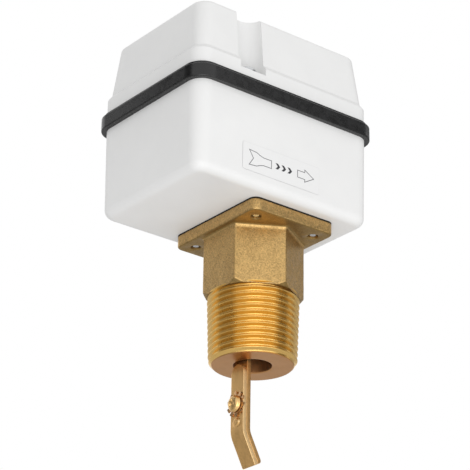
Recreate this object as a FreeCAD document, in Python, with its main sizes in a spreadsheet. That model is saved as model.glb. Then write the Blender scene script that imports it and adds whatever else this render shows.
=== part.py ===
"""Paddle flow switch: a 1 inch brass pipe fitting that carries a plastic switch housing.

Every sub-part is drawn about the pipe axis with z = 0 on the top face of the brass
flange, and its Placement then lifts it by seat_height, so that the part's own origin
lies on the pipe axis at the shoulder where the taper thread starts. +Z points up, away
from the pipe, and +X is the direction of flow. All sizes are in millimetres.
"""
import FreeCAD
import Part
import Sketcher
import math
import os

Vector = FreeCAD.Vector
Rotation = FreeCAD.Rotation

# name, value, what it is
DIMS = [
    ("seat_height", 27.8, "thread shoulder up to the top face of the flange"),
    ("flange_x", 38.0, "flange along the flow"),
    ("flange_y", 48.0, "flange across the flow"),
    ("flange_thk", 4.6, "flange thickness"),
    ("flange_corner", 3.0, "corner radius of the flange"),
    ("flange_screw_x", 27.0, "flange screw pitch along the flow"),
    ("flange_screw_y", 36.0, "flange screw pitch across the flow"),
    ("flange_screw_r", 1.65, "M4 thread core radius in the flange"),
    ("flange_hole_slack", 0.5, "screw holes in gasket, floor and frame past that radius"),
    ("flange_head_r", 3.9, "flange screw head radius"),
    ("flange_head", 2.9, "flange screw head height"),
    ("flange_tip_in", 0.6, "tip of the flange screw short of the flange's underside"),
    ("hex_flats", 32.8, "hexagon across flats"),
    ("hex_bevel", 1.9, "height of the bevel on the hexagon's lower corners"),
    ("thread_len", 26.1, "length of the R1 taper thread"),
    ("thread_end_r", 16.30, "major radius of the thread at its free end"),
    ("thread_taper", 0.03125, "rise of radius per millimetre, 1:16 on diameter"),
    ("thread_bevel", 1.3, "chamfer at the free end of the thread"),
    ("thread_pitch", 2.309, "pitch, 11 threads per inch"),
    ("thread_depth", 1.4, "crest to root, a little less than the sharp form"),
    ("thread_root", 0.5, "width of the groove at its root"),
    ("thread_land", 0.35, "width of the crest left between two turns"),
    ("shoulder_ease", 0.6, "blend of the spigot into the hexagon"),
    ("bore_break", 0.5, "bevel at the mouth of the bore"),
    ("bore_r", 7.0, "bore that the paddle arm passes through"),
    ("chamber_r", 13.2, "chamber round the bellows"),
    ("chamber_depth", 16.0, "depth of the bellows chamber"),
    ("gasket_thk", 0.4, "gasket between flange and housing"),
    ("box_offset", -9.4, "housing centre from the pipe axis, against the flow"),
    ("rim_x", 81.8, "housing length at its rim"),
    ("rim_y", 61.2, "housing width at its rim"),
    ("rim_corner", 6.0, "corner radius of the rim"),
    ("base_height", 35.6, "underside of the housing up to the rim shoulder"),
    ("base_draft", 0.55, "inset of the lower housing's walls at the bottom"),
    ("base_edge", 3.4, "rounding of the bottom edge"),
    ("base_wall", 2.5, "wall of the lower housing"),
    ("floor_thk", 3.0, "floor of the lower housing"),
    ("cavity_corner", 3.5, "corner radius inside the housing"),
    ("throat_r", 12.6, "opening in the floor and the gasket"),
    ("tongue_step", 1.2, "outer face of the rim back to the tongue"),
    ("tongue_height", 4.0, "tongue that locates the seal"),
    ("seal_height", 5.5, "visible height of the rubber band"),
    ("seal_reach", 2.1, "how far the band stands out past the rim"),
    ("seal_lip", 0.9, "thickness of the raised lip round the cover"),
    ("seal_lip_height", 1.1, "height of the raised lip"),
    ("seal_edge", 0.5, "rounding of the band's two outer edges"),
    ("fit_gap", 0.05, "clearance between pieces that slip together"),
    ("cover_height", 29.5, "cover, from its lower edge to its top"),
    ("skirt_height", 7.4, "upright foot of the cover"),
    ("skirt_bevel", 2.0, "height of the bevel above the foot"),
    ("cover_step", 1.5, "how far the cover wall stands back from its foot"),
    ("cover_draft", 1.7, "further inset of the cover wall at the top"),
    ("cover_top_corner", 6.0, "corner radius at the top"),
    ("cover_edge", 1.4, "rounding of the top edge"),
    ("cover_wall", 2.2, "wall of the cover"),
    ("cover_screw_x", 16.1, "cover screw from the housing centre, along"),
    ("cover_screw_inset", 4.0, "cover screw axis in from the rim"),
    ("channel_r", 5.8, "radius of the upright screw channel"),
    ("channel_inset", 3.0, "channel axis in from the rim"),
    ("channel_wall", 2.0, "wall round the channel"),
    ("seat_rise", 4.7, "screw seat above the lower edge of the cover"),
    ("cover_screw_r", 1.65, "cover screw shank radius"),
    ("cover_screw_len", 16.0, "cover screw length under the head"),
    ("cover_head_r", 3.7, "cover screw head radius"),
    ("cover_head", 2.5, "cover screw head height"),
    ("cover_hole_r", 1.9, "clearance hole in the cover seat"),
    ("plate_thk", 1.5, "sheet of the switch frame"),
    ("plate_x0", -17.5, "upstream edge of the frame plate"),
    ("plate_x1", 18.5, "downstream edge of the frame plate"),
    ("plate_y", 44.6, "width of the frame plate"),
    ("slot_x0", -9.0, "upstream edge of the slot for the arm"),
    ("slot_x1", 5.5, "downstream edge of the slot for the arm"),
    ("slot_y", 9.2, "width of the slot for the arm"),
    ("ear_gap", 10.6, "clear width between the two pivot ears"),
    ("ear_r", 4.5, "rounding of the pivot ears"),
    ("pivot_rise", 9.0, "pivot above the flange top"),
    ("pin_r", 1.5, "pivot pin radius"),
    ("pin_over", 1.6, "pin standing out past an ear"),
    ("pin_waist", 0.35, "depth of the grooves for the clips"),
    ("pin_bevel", 0.3, "bevel of the pin's ends"),
    ("clip_thk", 0.6, "retaining clip thickness"),
    ("clip_reach", 1.5, "retaining clip past the pin"),
    ("clip_gap", 0.1, "play of a clip in its groove"),
    ("run_gap", 0.06, "running clearance of the turning and sliding pieces"),
    ("hub_r", 3.4, "hub of the rocker"),
    ("hub_width", 10.0, "hub width"),
    ("rocker_width", 8.0, "width of the rocker's arms"),
    ("strip_thk", 1.8, "backing strip of the rocker"),
    ("arm_thk", 1.75, "thickness of the flat brass arm"),
    ("arm_width", 7.1, "width of the flat brass arm"),
    ("arm_face", -3.5, "downstream face of the arm from the pipe axis"),
    ("arm_top", 25.5, "upper end of the arm"),
    ("rivet_r", 1.0, "stem of the rivets and of the striker"),
    ("rivet_pitch", 8.9, "pitch of the two rivets, either side of the striker"),
    ("rivet_lip", 0.6, "rivet head past its stem"),
    ("rivet_head", 0.7, "rivet head height"),
    ("clamp_thk", 1.7, "thickness of the paddle clamp"),
    ("clamp_drop", 1.0, "rounded upper end of the clamp, below the end of the thread"),
    ("bend_drop", 25.9, "corner of the bend on the joint line, below the clamp's top"),
    ("bend_angle", 27.0, "bend of the arm's free end, in degrees"),
    ("bend_r", 7.0, "bend radius on the joint line"),
    ("bent_len", 12.3, "bent end, from the corner on the joint line"),
    ("clamp_screw_drop", 15.2, "clamp screw below the clamp's top"),
    ("clamp_screw_r", 1.95, "clamp screw shank radius"),
    ("clamp_head_r", 3.1, "clamp screw head radius"),
    ("clamp_head", 2.0, "clamp screw head height"),
    ("clamp_tip", 0.45, "clamp screw standing out behind the arm"),
    ("hole_slack", 0.15, "washer and clamp hole past the screw they take"),
    ("washer_r", 4.8, "star washer over its teeth"),
    ("washer_thk", 0.8, "star washer with its twisted teeth"),
    ("washer_teeth", 10, "teeth of the star washer"),
    ("tooth_len", 1.3, "length of a washer tooth"),
    ("dimple_drop", 22.1, "pressed rib below the clamp's top"),
    ("dimple_half_y", 2.15, "half length of the rib, across the strip"),
    ("dimple_half_z", 1.6, "half height of the rib"),
    ("dimple_rise", 0.55, "rise of the rib"),
    ("dimple_edge", 0.4, "rounding of the rib"),
    ("leg_reach", 15.5, "spring leg of the rocker"),
    ("leg_low", 7.7, "underside of the spring leg"),
    ("leg_thk", 2.6, "thickness of the spring leg"),
    ("foot_gap", 0.2, "rest stop gap under the leg's foot"),
    ("foot_x", 2.4, "width of the foot along the flow"),
    ("spring_pin", 1.5, "height of the pin inside the spring's lower end"),
    ("spring_gap", 0.3, "play of the spring on its pin and in its cup"),
    ("range_x", 11.0, "range screw from the pipe axis"),
    ("range_screw_r", 2.0, "M4 range screw"),
    ("range_screw_tip", 16.0, "lower end of the range screw"),
    ("range_head_r", 3.5, "range screw head radius"),
    ("range_head", 2.6, "range screw head height"),
    ("range_bevel", 0.4, "bevel of the head and depth of the clip groove"),
    ("range_tip", 0.5, "bevel of the screw's tip"),
    ("range_clip_thk", 0.7, "clip under the bridge"),
    ("range_clip_gap", 0.3, "play of that clip"),
    ("bridge_top", 37.0, "top of the bridge that carries the range screw"),
    ("bridge_x0", 5.5, "upstream edge of the bridge"),
    ("bridge_y", 12.0, "width of the bridge and its post"),
    ("nut_low", 23.5, "underside of the spring nut when it is screwed right down"),
    ("nut_thk", 6.5, "spring nut thickness"),
    ("nut_cup", 3.0, "depth of the cup that holds the top of the spring"),
    ("nut_width", 11.0, "spring nut across the flow"),
    ("spring_r", 3.6, "mean radius of the range spring"),
    ("spring_wire", 0.4, "half the wire of the range spring"),
    ("spring_turns", 5.0, "turns of the range spring"),
    ("bellows_root_r", 7.5, "bellows inside"),
    ("bellows_crest_r", 10.0, "bellows outside"),
    ("bellows_waves", 4, "convolutions of the bellows"),
    ("bellows_len", 10.0, "length of the bellows"),
    ("bellows_wall", 0.3, "bellows wall"),
    ("collar_r", 15.0, "soldered collar at the top of the bellows"),
    ("collar_thk", 1.2, "collar thickness"),
    ("cap_r", 8.6, "cap that closes the bellows round the arm"),
    ("cap_thk", 1.0, "cap thickness"),
    ("micro_x", -10.2, "plunger face of the microswitch"),
    ("micro_depth", 15.9, "microswitch along the flow"),
    ("micro_low", 9.5, "underside of the microswitch"),
    ("micro_height", 27.8, "microswitch height"),
    ("micro_width", 10.3, "microswitch thickness"),
    ("micro_bevel", 1.5, "cut corner of the microswitch case"),
    ("micro_hole_r", 1.6, "microswitch fixing holes"),
    ("micro_hole_edge", 2.8, "fixing holes in from the ends and from the back"),
    ("micro_screw_r", 1.47, "microswitch screw shank"),
    ("micro_head_r", 2.8, "microswitch screw head radius"),
    ("micro_head", 2.0, "microswitch screw head height"),
    ("micro_screw_out", 1.2, "microswitch screw standing out behind its plate"),
    ("micro_plate_edge", 1.0, "mounting plate past the microswitch"),
    ("tab_len", 6.4, "blade terminal length"),
    ("tab_thk", 0.8, "blade terminal thickness"),
    ("tab_width", 4.8, "blade terminal width"),
    ("plunger_z", 19.0, "plunger above the flange top"),
    ("plunger_r", 1.5, "plunger radius"),
    ("plunger_out", 1.8, "plunger standing out at rest"),
    ("plunger_in", 2.7, "plunger inside the case at rest"),
    ("plunger_well", 5.0, "depth of the well it slides in"),
    ("plunger_bevel", 0.5, "bevel of its tip"),
    ("striker_gap", 0.2, "striker to plunger at rest"),
    ("striker_r", 2.6, "striker button radius"),
    ("striker_edge", 0.9, "rounded front of the striker"),
    ("block_gap", 1.8, "terminal block from the housing's end wall"),
    ("block_room", 1.5, "terminal block from the blades of the microswitch"),
    ("block_lug", 6.5, "foot of the block past its tower, at each end"),
    ("block_z", 13.0, "terminal block height"),
    ("block_foot", 5.0, "height of the block's feet"),
    ("block_screw_y", 3.2, "block screw in from the end of the block"),
    ("block_screw_r", 1.3, "block screw shank"),
    ("block_screw_in", 2.2, "block screw below the housing floor"),
    ("block_head_r", 2.6, "block screw head radius"),
    ("block_head", 1.9, "block screw head height"),
    ("blind_depth", 2.4, "blind holes in the housing floor"),
    ("pole_pitch", 9.0, "pitch of the terminals"),
    ("pole_x", 7.0, "pocket of a terminal along the flow"),
    ("pole_y", 6.4, "pocket of a terminal across"),
    ("pole_rise", 1.7, "pocket floor above the housing floor"),
    ("clip_height", 7.0, "brass terminal height"),
    ("wire_r", 1.7, "wire hole of a terminal"),
    ("wire_rise", 2.9, "wire hole above the pocket floor"),
    ("clip_slack", 0.1, "brass terminal in its pocket, each side"),
    ("terminal_screw_r", 1.45, "terminal screw shank"),
    ("terminal_head_r", 2.5, "terminal screw head radius"),
    ("terminal_head", 1.9, "terminal screw head height"),
    ("earth_y", -17.5, "earth screw across the flow"),
    ("earth_screw_r", 1.95, "earth screw shank"),
    ("earth_head_r", 3.6, "earth screw head radius"),
    ("earth_head", 2.6, "earth screw head height"),
    ("earth_tip", 2.2, "earth screw below the frame"),
    ("earth_washer", 4.0, "half width of the square earth washer"),
    ("earth_washer_thk", 1.0, "earth washer thickness"),
    ("entry_x", -20.0, "cable entry along the flow"),
    ("entry_z", 22.0, "cable entry above the flange top"),
    ("entry_r", 8.1, "hole for the M16 gland"),
    ("entry_pad_r", 12.3, "flat pad round the cable entry"),
    ("entry_pad_rise", 0.6, "flat pad past the rim"),
    ("gland_flats", 20.0, "gland hexagons across flats"),
    ("gland_hex", 5.0, "gland body hexagon height"),
    ("gland_tail", 10.5, "gland thread behind its seat"),
    ("gland_neck_r", 7.7, "gland thread under the cap nut"),
    ("gland_neck", 8.0, "length of that thread"),
    ("gland_bore_r", 6.1, "bore of the gland body"),
    ("gland_bevel", 0.6, "bevels of the gland's threads"),
    ("gland_slack", 0.1, "gland thread in the housing hole"),
    ("seal_bore_r", 4.2, "cable hole of the gland seal"),
    ("seal_in", 6.0, "gland seal inside the neck"),
    ("seal_out", 2.2, "gland seal past the neck"),
    ("seal_cone", 0.9, "taper of the seal where the cap nut squeezes it"),
    ("gland_nut_len", 12.0, "gland cap nut length"),
    ("gland_nut_gap", 0.8, "cap nut off the body's hexagon"),
    ("gland_nut_slack", 0.08, "cap nut on its thread"),
    ("gland_nut_lip", 1.2, "hole of the cap nut past the cable hole"),
    ("gland_nut_room", 2.6, "height of the room for the seal past the neck"),
    ("locknut_thk", 4.0, "gland locknut"),
    ("locknut_flats", 21.0, "gland locknut across flats"),
]

doc = FreeCAD.newDocument("paddle_flow_switch")
sheet = doc.addObject("Spreadsheet::Sheet", "Dims")
for row, (name, value, note) in enumerate(DIMS, start=1):
    sheet.set(f"A{row}", note)
    sheet.set(f"B{row}", str(value))
    sheet.setAlias(f"B{row}", name)
doc.recompute()

subparts = []
QUARTER_TURN = 90.0


def size(expression):
    """The value, in millimetres, of an expression over the sheet."""
    return float(sheet_reader.evalExpression(expression))


sheet_reader = doc.addObject("App::FeaturePython", "Reader")


def d(name):
    """The sheet cell called name, for use inside an expression."""
    return f"Dims.{name}"


# ---------------------------------------------------------------- derived heights and places
FLOOR_LOW = d("gasket_thk")
FLOOR_TOP = "(Dims.gasket_thk + Dims.floor_thk)"
PLATE_TOP = "(Dims.gasket_thk + Dims.floor_thk + Dims.plate_thk)"
SHOULDER = "(Dims.gasket_thk + Dims.base_height)"
SEAL_TOP = "(Dims.gasket_thk + Dims.base_height + Dims.seal_height)"
SKIRT_TOP = f"({SEAL_TOP} + Dims.skirt_height)"
COVER_TOP = f"({SEAL_TOP} + Dims.cover_height)"
SCREW_SEAT = f"({SEAL_TOP} + Dims.seat_rise)"
HEX_LOW = d("seat_height")
THREAD_END = "(Dims.seat_height + Dims.thread_len)"
SCREW_Y = "(Dims.rim_y / 2 - Dims.cover_screw_inset)"
CHANNEL_Y = "(Dims.rim_y / 2 - Dims.channel_inset)"
FRONT_X = "(Dims.box_offset - Dims.cover_screw_x)"
REAR_X = "(Dims.box_offset + Dims.cover_screw_x)"
ARM_BACK = "(Dims.arm_face - Dims.arm_thk)"
CLAMP_FACE = "(Dims.arm_face - Dims.arm_thk - Dims.clamp_thk)"
LEG_TOP = "(Dims.leg_low + Dims.leg_thk)"
ENTRY_SEAT = "(Dims.rim_y / 2 + Dims.entry_pad_rise)"
PIN_HOLE_R = "(Dims.pin_r + Dims.run_gap)"
EAR_OUT = "(Dims.ear_gap / 2 + Dims.plate_thk)"
CLAMP_TOP = f"(-{THREAD_END} - Dims.clamp_drop)"
CLAMP_SCREW_Z = f"({CLAMP_TOP} - Dims.clamp_screw_drop)"
RIB_Z = f"({CLAMP_TOP} - Dims.dimple_drop)"
BEND_Z = f"({CLAMP_TOP} - Dims.bend_drop)"
MICRO_FAR = "(Dims.micro_x - Dims.micro_depth)"
BLOCK_X0 = "(Dims.box_offset - Dims.rim_x / 2 + Dims.base_wall + Dims.block_gap)"
BLOCK_X1 = f"({MICRO_FAR} - Dims.tab_len - Dims.block_room)"
BLOCK_MID = f"(({BLOCK_X0} + {BLOCK_X1}) / 2)"
TOWER_HALF = "(Dims.pole_pitch * 1.5)"
BLOCK_HALF = f"({TOWER_HALF} + Dims.block_lug)"
BLOCK_SCREW_Y = f"({BLOCK_HALF} - Dims.block_screw_y)"
BLOCK_FOOT = f"({FLOOR_TOP} + Dims.block_foot)"
POLE_FLOOR = f"({FLOOR_TOP} + Dims.pole_rise)"
WIRE_Z = f"({POLE_FLOOR} + Dims.wire_rise)"
MICRO_TOP = "(Dims.micro_low + Dims.micro_height)"
MICRO_HOLE_X = f"({MICRO_FAR} + Dims.micro_hole_edge)"
MICRO_HOLES = ("(Dims.micro_low + Dims.micro_hole_edge)",
               f"({MICRO_TOP} - Dims.micro_hole_edge)")
FLANGE_HOLE_R = "(Dims.flange_screw_r + Dims.flange_hole_slack)"


# ---------------------------------------------------------------- drawing helpers
def new_body(label):
    """An empty body, lifted so that the thread shoulder is the origin."""
    body = doc.addObject("PartDesign::Body", label)
    body.Label = label
    body.AllowCompound = True
    body.setExpression("Placement.Base.z", d("seat_height"))
    subparts.append(body)
    return body


def place(body, x, y, z, rotation=None):
    """Put a body that was drawn about its own axis where it belongs."""
    if rotation is not None:
        body.Placement = FreeCAD.Placement(Vector(0, 0, 0), rotation)
    body.setExpression("Placement.Base.x", x)
    body.setExpression("Placement.Base.y", y)
    body.setExpression("Placement.Base.z", f"Dims.seat_height + {z}")


def plane_of(body, role):
    return [item for item in body.Origin.OriginFeatures if item.Role == role][0]


def new_sketch(body, plane="XY_Plane", offset="0"):
    """A sketch on one of the body's own planes, moved along the plane's normal."""
    sketch = body.newObject("Sketcher::SketchObject", "Sketch")
    sketch.AttachmentSupport = [(plane_of(body, plane), "")]
    sketch.MapMode = "FlatFace"
    if offset != "0":
        sketch.setExpression("AttachmentOffset.Base.z", offset)
    return sketch


def bind(sketch, constraint, expression):
    """Add a dimensional constraint and bind it to the sheet."""
    index = sketch.addConstraint(constraint)
    sketch.setExpression(f"Constraints[{index}]", expression)


def pin_point(sketch, geometry, point, x, y):
    """Hold one point of a sketch at x, y, both of them expressions."""
    for kind, axis, expression in (("DistanceX", -2, x), ("DistanceY", -1, y)):
        value = size(expression)
        if abs(value) < 1e-9:
            sketch.addConstraint(Sketcher.Constraint("PointOnObject", geometry, point, axis))
        elif value > 0:
            bind(sketch, Sketcher.Constraint(kind, -1, 1, geometry, point, value), expression)
        else:
            flipped = f"-({expression})"
            bind(sketch, Sketcher.Constraint(kind, geometry, point, -1, 1, -value), flipped)


def circle(sketch, x, y, radius):
    centre = Vector(size(x), size(y), 0)
    shape = Part.Circle(centre, Vector(0, 0, 1), size(radius))
    index = sketch.addGeometry(shape, False)
    bind(sketch, Sketcher.Constraint("Radius", index, size(radius)), radius)
    pin_point(sketch, index, 3, x, y)


def polygon(sketch, points):
    """A closed outline of straight lines through points given as expression pairs."""
    spots = [Vector(size(x), size(y), 0) for x, y in points]
    first = sketch.GeometryCount
    count = len(spots)
    for number in range(count):
        segment = Part.LineSegment(spots[number], spots[(number + 1) % count])
        sketch.addGeometry(segment, False)
    for number in range(count):
        following = first + (number + 1) % count
        joint = Sketcher.Constraint("Coincident", first + number, 2, following, 1)
        sketch.addConstraint(joint)
        pin_point(sketch, first + number, 1, *points[number])


def box_outline(sketch, x0, x1, y0, y1):
    polygon(sketch, [(x0, y0), (x1, y0), (x1, y1), (x0, y1)])


def regular_polygon(sketch, sides, flats, turn=0.0):
    """A regular polygon about the origin; turn is the angle of its first corner."""
    points = []
    for number in range(sides):
        angle = turn + 360.0 * number / sides
        reach = f"{flats} / 2 / cos({180.0 / sides} deg)"
        points.append((f"{reach} * cos({angle} deg)", f"{reach} * sin({angle} deg)"))
    polygon(sketch, points)


def arc(sketch, x, y, radius, start, end):
    """An arc with a fixed centre and radius, from start to end in degrees."""
    whole = Part.Circle(Vector(size(x), size(y), 0), Vector(0, 0, 1), size(radius))
    piece = Part.ArcOfCircle(whole, math.radians(start), math.radians(end))
    index = sketch.addGeometry(piece, False)
    bind(sketch, Sketcher.Constraint("Radius", index, size(radius)), radius)
    pin_point(sketch, index, 3, x, y)
    return index


def rounded_box(sketch, x, y, half_x, half_y, radius):
    """A rectangle about x, y with rounded corners: four arcs and four tangent lines."""
    corners = []
    for number, (sign_x, sign_y) in enumerate(((1, 1), (-1, 1), (-1, -1), (1, -1))):
        start = number * QUARTER_TURN
        centre_x = f"{x} + {sign_x} * ({half_x} - {radius})"
        centre_y = f"{y} + {sign_y} * ({half_y} - {radius})"
        corners.append(arc(sketch, centre_x, centre_y, radius, start, start + QUARTER_TURN))
    join_tangent(sketch, corners, [2, 2, 2, 2], [1, 1, 1, 1])


def join_tangent(sketch, curves, ends, starts):
    """Join each curve to the next by a straight line that is tangent to both."""
    count = len(curves)
    for number in range(count):
        here = curves[number]
        there = curves[(number + 1) % count]
        end = ends[number]
        start = starts[(number + 1) % count]
        line = Part.LineSegment(sketch.getPoint(here, end), sketch.getPoint(there, start))
        index = sketch.addGeometry(line, False)
        sketch.addConstraint(Sketcher.Constraint("Tangent", here, end, index, 1))
        sketch.addConstraint(Sketcher.Constraint("Tangent", index, 2, there, start))


def bitten_box(sketch, half_x, half_y, radius, bite_r):
    """The inside of the housing in plan, with a bite round each of the two screw channels."""
    x = d("box_offset")
    long_x = size(half_x)
    long_y = size(half_y)
    bites = {-1: (FRONT_X, f"-{CHANNEL_Y}"), 1: (REAR_X, CHANNEL_Y)}
    chain = []
    for number, (sign_x, sign_y) in enumerate(((1, 1), (-1, 1), (-1, -1), (1, -1))):
        start = number * QUARTER_TURN
        centre_x = f"{x} + {sign_x} * ({half_x} - {radius})"
        centre_y = f"{sign_y} * ({half_y} - {radius})"
        chain.append(("corner", arc(sketch, centre_x, centre_y, radius, start,
                                    start + QUARTER_TURN)))
        if start in (0, 180):
            side = 1 if start == 0 else -1
            bite_x, bite_y = bites[side]
            drop = abs(size(bite_y)) - long_y
            lean = math.degrees(math.asin(drop / size(bite_r)))
            if side == 1:
                first, last = 180 + lean, 360 - lean
            else:
                first, last = lean, 180 - lean
            chain.append(("bite", arc(sketch, bite_x, bite_y, bite_r, first, last)))
    count = len(chain)
    for number in range(count):
        kind, here = chain[number]
        next_kind, there = chain[(number + 1) % count]
        end = 1 if kind == "bite" else 2
        start = 2 if next_kind == "bite" else 1
        line = Part.LineSegment(sketch.getPoint(here, end), sketch.getPoint(there, start))
        index = sketch.addGeometry(line, False)
        for curve, spot, own in ((here, end, 1), (there, start, 2)):
            relation = "Coincident" if ("bite", curve) in chain else "Tangent"
            sketch.addConstraint(Sketcher.Constraint(relation, index, own, curve, spot))
        if kind == "bite":
            sketch.addConstraint(Sketcher.Constraint("Horizontal", index))


def add(body, kind, profile):
    feature = body.newObject(kind, kind.split("::")[1])
    feature.Profile = profile
    return feature


def pad(body, sketch, length, symmetric=False, down=False):
    feature = add(body, "PartDesign::Pad", sketch)
    feature.setExpression("Length", length)
    feature.Midplane = symmetric
    feature.Reversed = down
    return feature


def pocket(body, sketch, length=None, symmetric=False, up=False):
    """Cut along the sketch's normal: away from it, or with up along it; no length is all."""
    feature = add(body, "PartDesign::Pocket", sketch)
    feature.Midplane = symmetric
    feature.Reversed = up
    if length is None:
        feature.Type = "ThroughAll"
    else:
        feature.setExpression("Length", length)
    return feature


def revolve(body, sketch, cut=False):
    """A full turn about the sketch's own upright axis."""
    kind = "PartDesign::Groove" if cut else "PartDesign::Revolution"
    feature = add(body, kind, sketch)
    feature.ReferenceAxis = (sketch, ["V_Axis"])
    return feature


def turned(body, points, cut=False):
    """Turn a half profile, given as radius and height pairs, about the body's Z axis."""
    sketch = new_sketch(body, "XZ_Plane")
    polygon(sketch, points)
    return revolve(body, sketch, cut)


def loft(body, lower, upper):
    feature = add(body, "PartDesign::AdditiveLoft", lower)
    feature.Sections = [upper]
    feature.Ruled = True
    return feature


def edges_where(feature, test):
    """Names of the edges of a feature that pass a test on their bounding box."""
    doc.recompute()
    names = []
    for number, edge in enumerate(feature.Shape.Edges, start=1):
        if test(edge.BoundBox):
            names.append(f"Edge{number}")
    return names


def fillet(body, feature, radius, test):
    rounding = body.newObject("PartDesign::Fillet", "Fillet")
    rounding.Base = (feature, edges_where(feature, test))
    rounding.setExpression("Radius", radius)
    return rounding


def corner_holes(sketch, radius):
    for sign_x in (-1, 1):
        for sign_y in (-1, 1):
            x = f"{sign_x} * Dims.flange_screw_x / 2"
            y = f"{sign_y} * Dims.flange_screw_y / 2"
            circle(sketch, x, y, radius)


def pan_profile(head_r, head_h, shank_r, length):
    """Half profile of a pan head screw: under the head is height 0, the tip is below."""
    return [
        ("0", f"-({length})"),
        (f"{shank_r} * 0.7", f"-({length})"),
        (shank_r, f"-({length}) + {shank_r} * 0.3"),
        (shank_r, "0"),
        (head_r, "0"),
        (head_r, f"{head_h} * 0.45"),
        (f"{head_r} * 0.82", f"{head_h} * 0.82"),
        (f"{head_r} * 0.45", head_h),
        ("0", head_h),
    ]


def pan_screw(label, head_r, head_h, shank_r, length):
    body = new_body(label)
    turned(body, pan_profile(head_r, head_h, shank_r, length))
    return body


# ---------------------------------------------------------------- brass fitting
def make_brass_body():
    body = new_body("brass_body")
    flange = new_sketch(body)
    rounded_box(flange, "0", "0", "Dims.flange_x / 2", "Dims.flange_y / 2", d("flange_corner"))
    pad(body, flange, d("flange_thk"), down=True)
    hexagon = new_sketch(body)
    regular_polygon(hexagon, 6, d("hex_flats"), turn=QUARTER_TURN)
    pad(body, hexagon, HEX_LOW, down=True)
    corner_r = "Dims.hex_flats / 2 / cos(30 deg)"
    outside = f"{corner_r} + 1"
    # the cone that takes the sharp lower corners off the hexagon
    turned(body, [
        (f"{corner_r} - Dims.hex_bevel", f"-{HEX_LOW}"),
        (outside, f"-{HEX_LOW}"),
        (outside, f"-{HEX_LOW} + Dims.hex_bevel + 1"),
    ], cut=True)
    shoulder_r = "(Dims.thread_end_r + Dims.thread_len * Dims.thread_taper)"
    turned(body, [
        ("0", f"-{HEX_LOW} + Dims.shoulder_ease"),
        ("0", f"-{THREAD_END}"),
        ("Dims.thread_end_r - Dims.thread_bevel", f"-{THREAD_END}"),
        ("Dims.thread_end_r", f"-{THREAD_END} + Dims.thread_bevel"),
        (shoulder_r, f"-{HEX_LOW}"),
        (f"{shoulder_r} - Dims.shoulder_ease", f"-{HEX_LOW} + Dims.shoulder_ease"),
    ])
    # bore, bellows chamber and the recess for the bellows collar, in one turned cut
    turned(body, [
        ("0", "1"),
        ("Dims.collar_r + Dims.fit_gap", "1"),
        ("Dims.collar_r + Dims.fit_gap", "-Dims.collar_thk"),
        (d("chamber_r"), "-Dims.collar_thk"),
        (d("chamber_r"), "-Dims.chamber_depth"),
        (d("bore_r"), "-Dims.chamber_depth"),
        (d("bore_r"), f"-{THREAD_END} + Dims.bore_break"),
        ("Dims.bore_r + Dims.bore_break", f"-{THREAD_END}"),
        ("Dims.bore_r + Dims.bore_break", f"-{THREAD_END} - 1"),
        ("0", f"-{THREAD_END} - 1"),
    ], cut=True)
    holes = new_sketch(body)
    corner_holes(holes, d("flange_screw_r"))
    pocket(body, holes, "Dims.flange_thk + 1")
    cut_thread(body)


def cut_thread(body):
    """The taper thread: one groove carried up a cone, from below the end to the hexagon."""
    start = f"(-{THREAD_END} - Dims.thread_pitch / 2)"
    crest_r = "(Dims.thread_end_r - Dims.thread_pitch / 2 * Dims.thread_taper)"
    root_r = f"({crest_r} - Dims.thread_depth)"
    # the flanks run on past the crest, so that the cutter stands clear of the cone
    over = "(Dims.thread_depth / 4)"
    root_half = "(Dims.thread_root / 2)"
    crest_half = "((Dims.thread_pitch - Dims.thread_land) / 2)"
    far_half = f"({crest_half} + ({crest_half} - {root_half}) / 4)"
    groove = new_sketch(body, "XZ_Plane")
    polygon(groove, [
        (root_r, f"{start} - {root_half}"),
        (f"{crest_r} + {over}", f"{start} - {far_half}"),
        (f"{crest_r} + {over}", f"{start} + {far_half}"),
        (root_r, f"{start} + {root_half}"),
    ])
    thread = add(body, "PartDesign::SubtractiveHelix", groove)
    thread.ReferenceAxis = (groove, ["V_Axis"])
    thread.Mode = "pitch-height-angle"
    thread.setExpression("Pitch", d("thread_pitch"))
    thread.setExpression("Height", "Dims.thread_len - Dims.thread_pitch / 8")
    thread.setExpression("Angle", "atan(Dims.thread_taper)")


def make_flange_gasket():
    body = new_body("flange_gasket")
    outline = new_sketch(body)
    rounded_box(outline, "0", "0", "Dims.flange_x / 2", "Dims.flange_y / 2", d("flange_corner"))
    circle(outline, "0", "0", d("throat_r"))
    corner_holes(outline, FLANGE_HOLE_R)
    pad(body, outline, d("gasket_thk"))


def make_flange_screws():
    body = new_body("flange_screws")
    profile = new_sketch(body, "XZ_Plane")
    profile.setExpression("AttachmentOffset.Base.x", "-Dims.flange_screw_x / 2")
    profile.setExpression("AttachmentOffset.Base.z", "Dims.flange_screw_y / 2")
    profile.setExpression("AttachmentOffset.Base.y", PLATE_TOP)
    length = f"({PLATE_TOP} + Dims.flange_thk - Dims.flange_tip_in)"
    stem_r = "(Dims.flange_screw_r - Dims.fit_gap)"
    polygon(profile, pan_profile(d("flange_head_r"), d("flange_head"), stem_r, length))
    first = revolve(body, profile)
    copies = body.newObject("PartDesign::MultiTransform", "Corners")
    copies.Originals = [first]
    rows = []
    for role, pitch in (("X_Axis", "flange_screw_x"), ("Y_Axis", "flange_screw_y")):
        row_of = body.newObject("PartDesign::LinearPattern", "Row")
        row_of.Direction = (plane_of(body, role), [""])
        row_of.setExpression("Length", d(pitch))
        row_of.Occurrences = 2
        rows.append(row_of)
    copies.Transformations = rows
    body.Tip = copies


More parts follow.
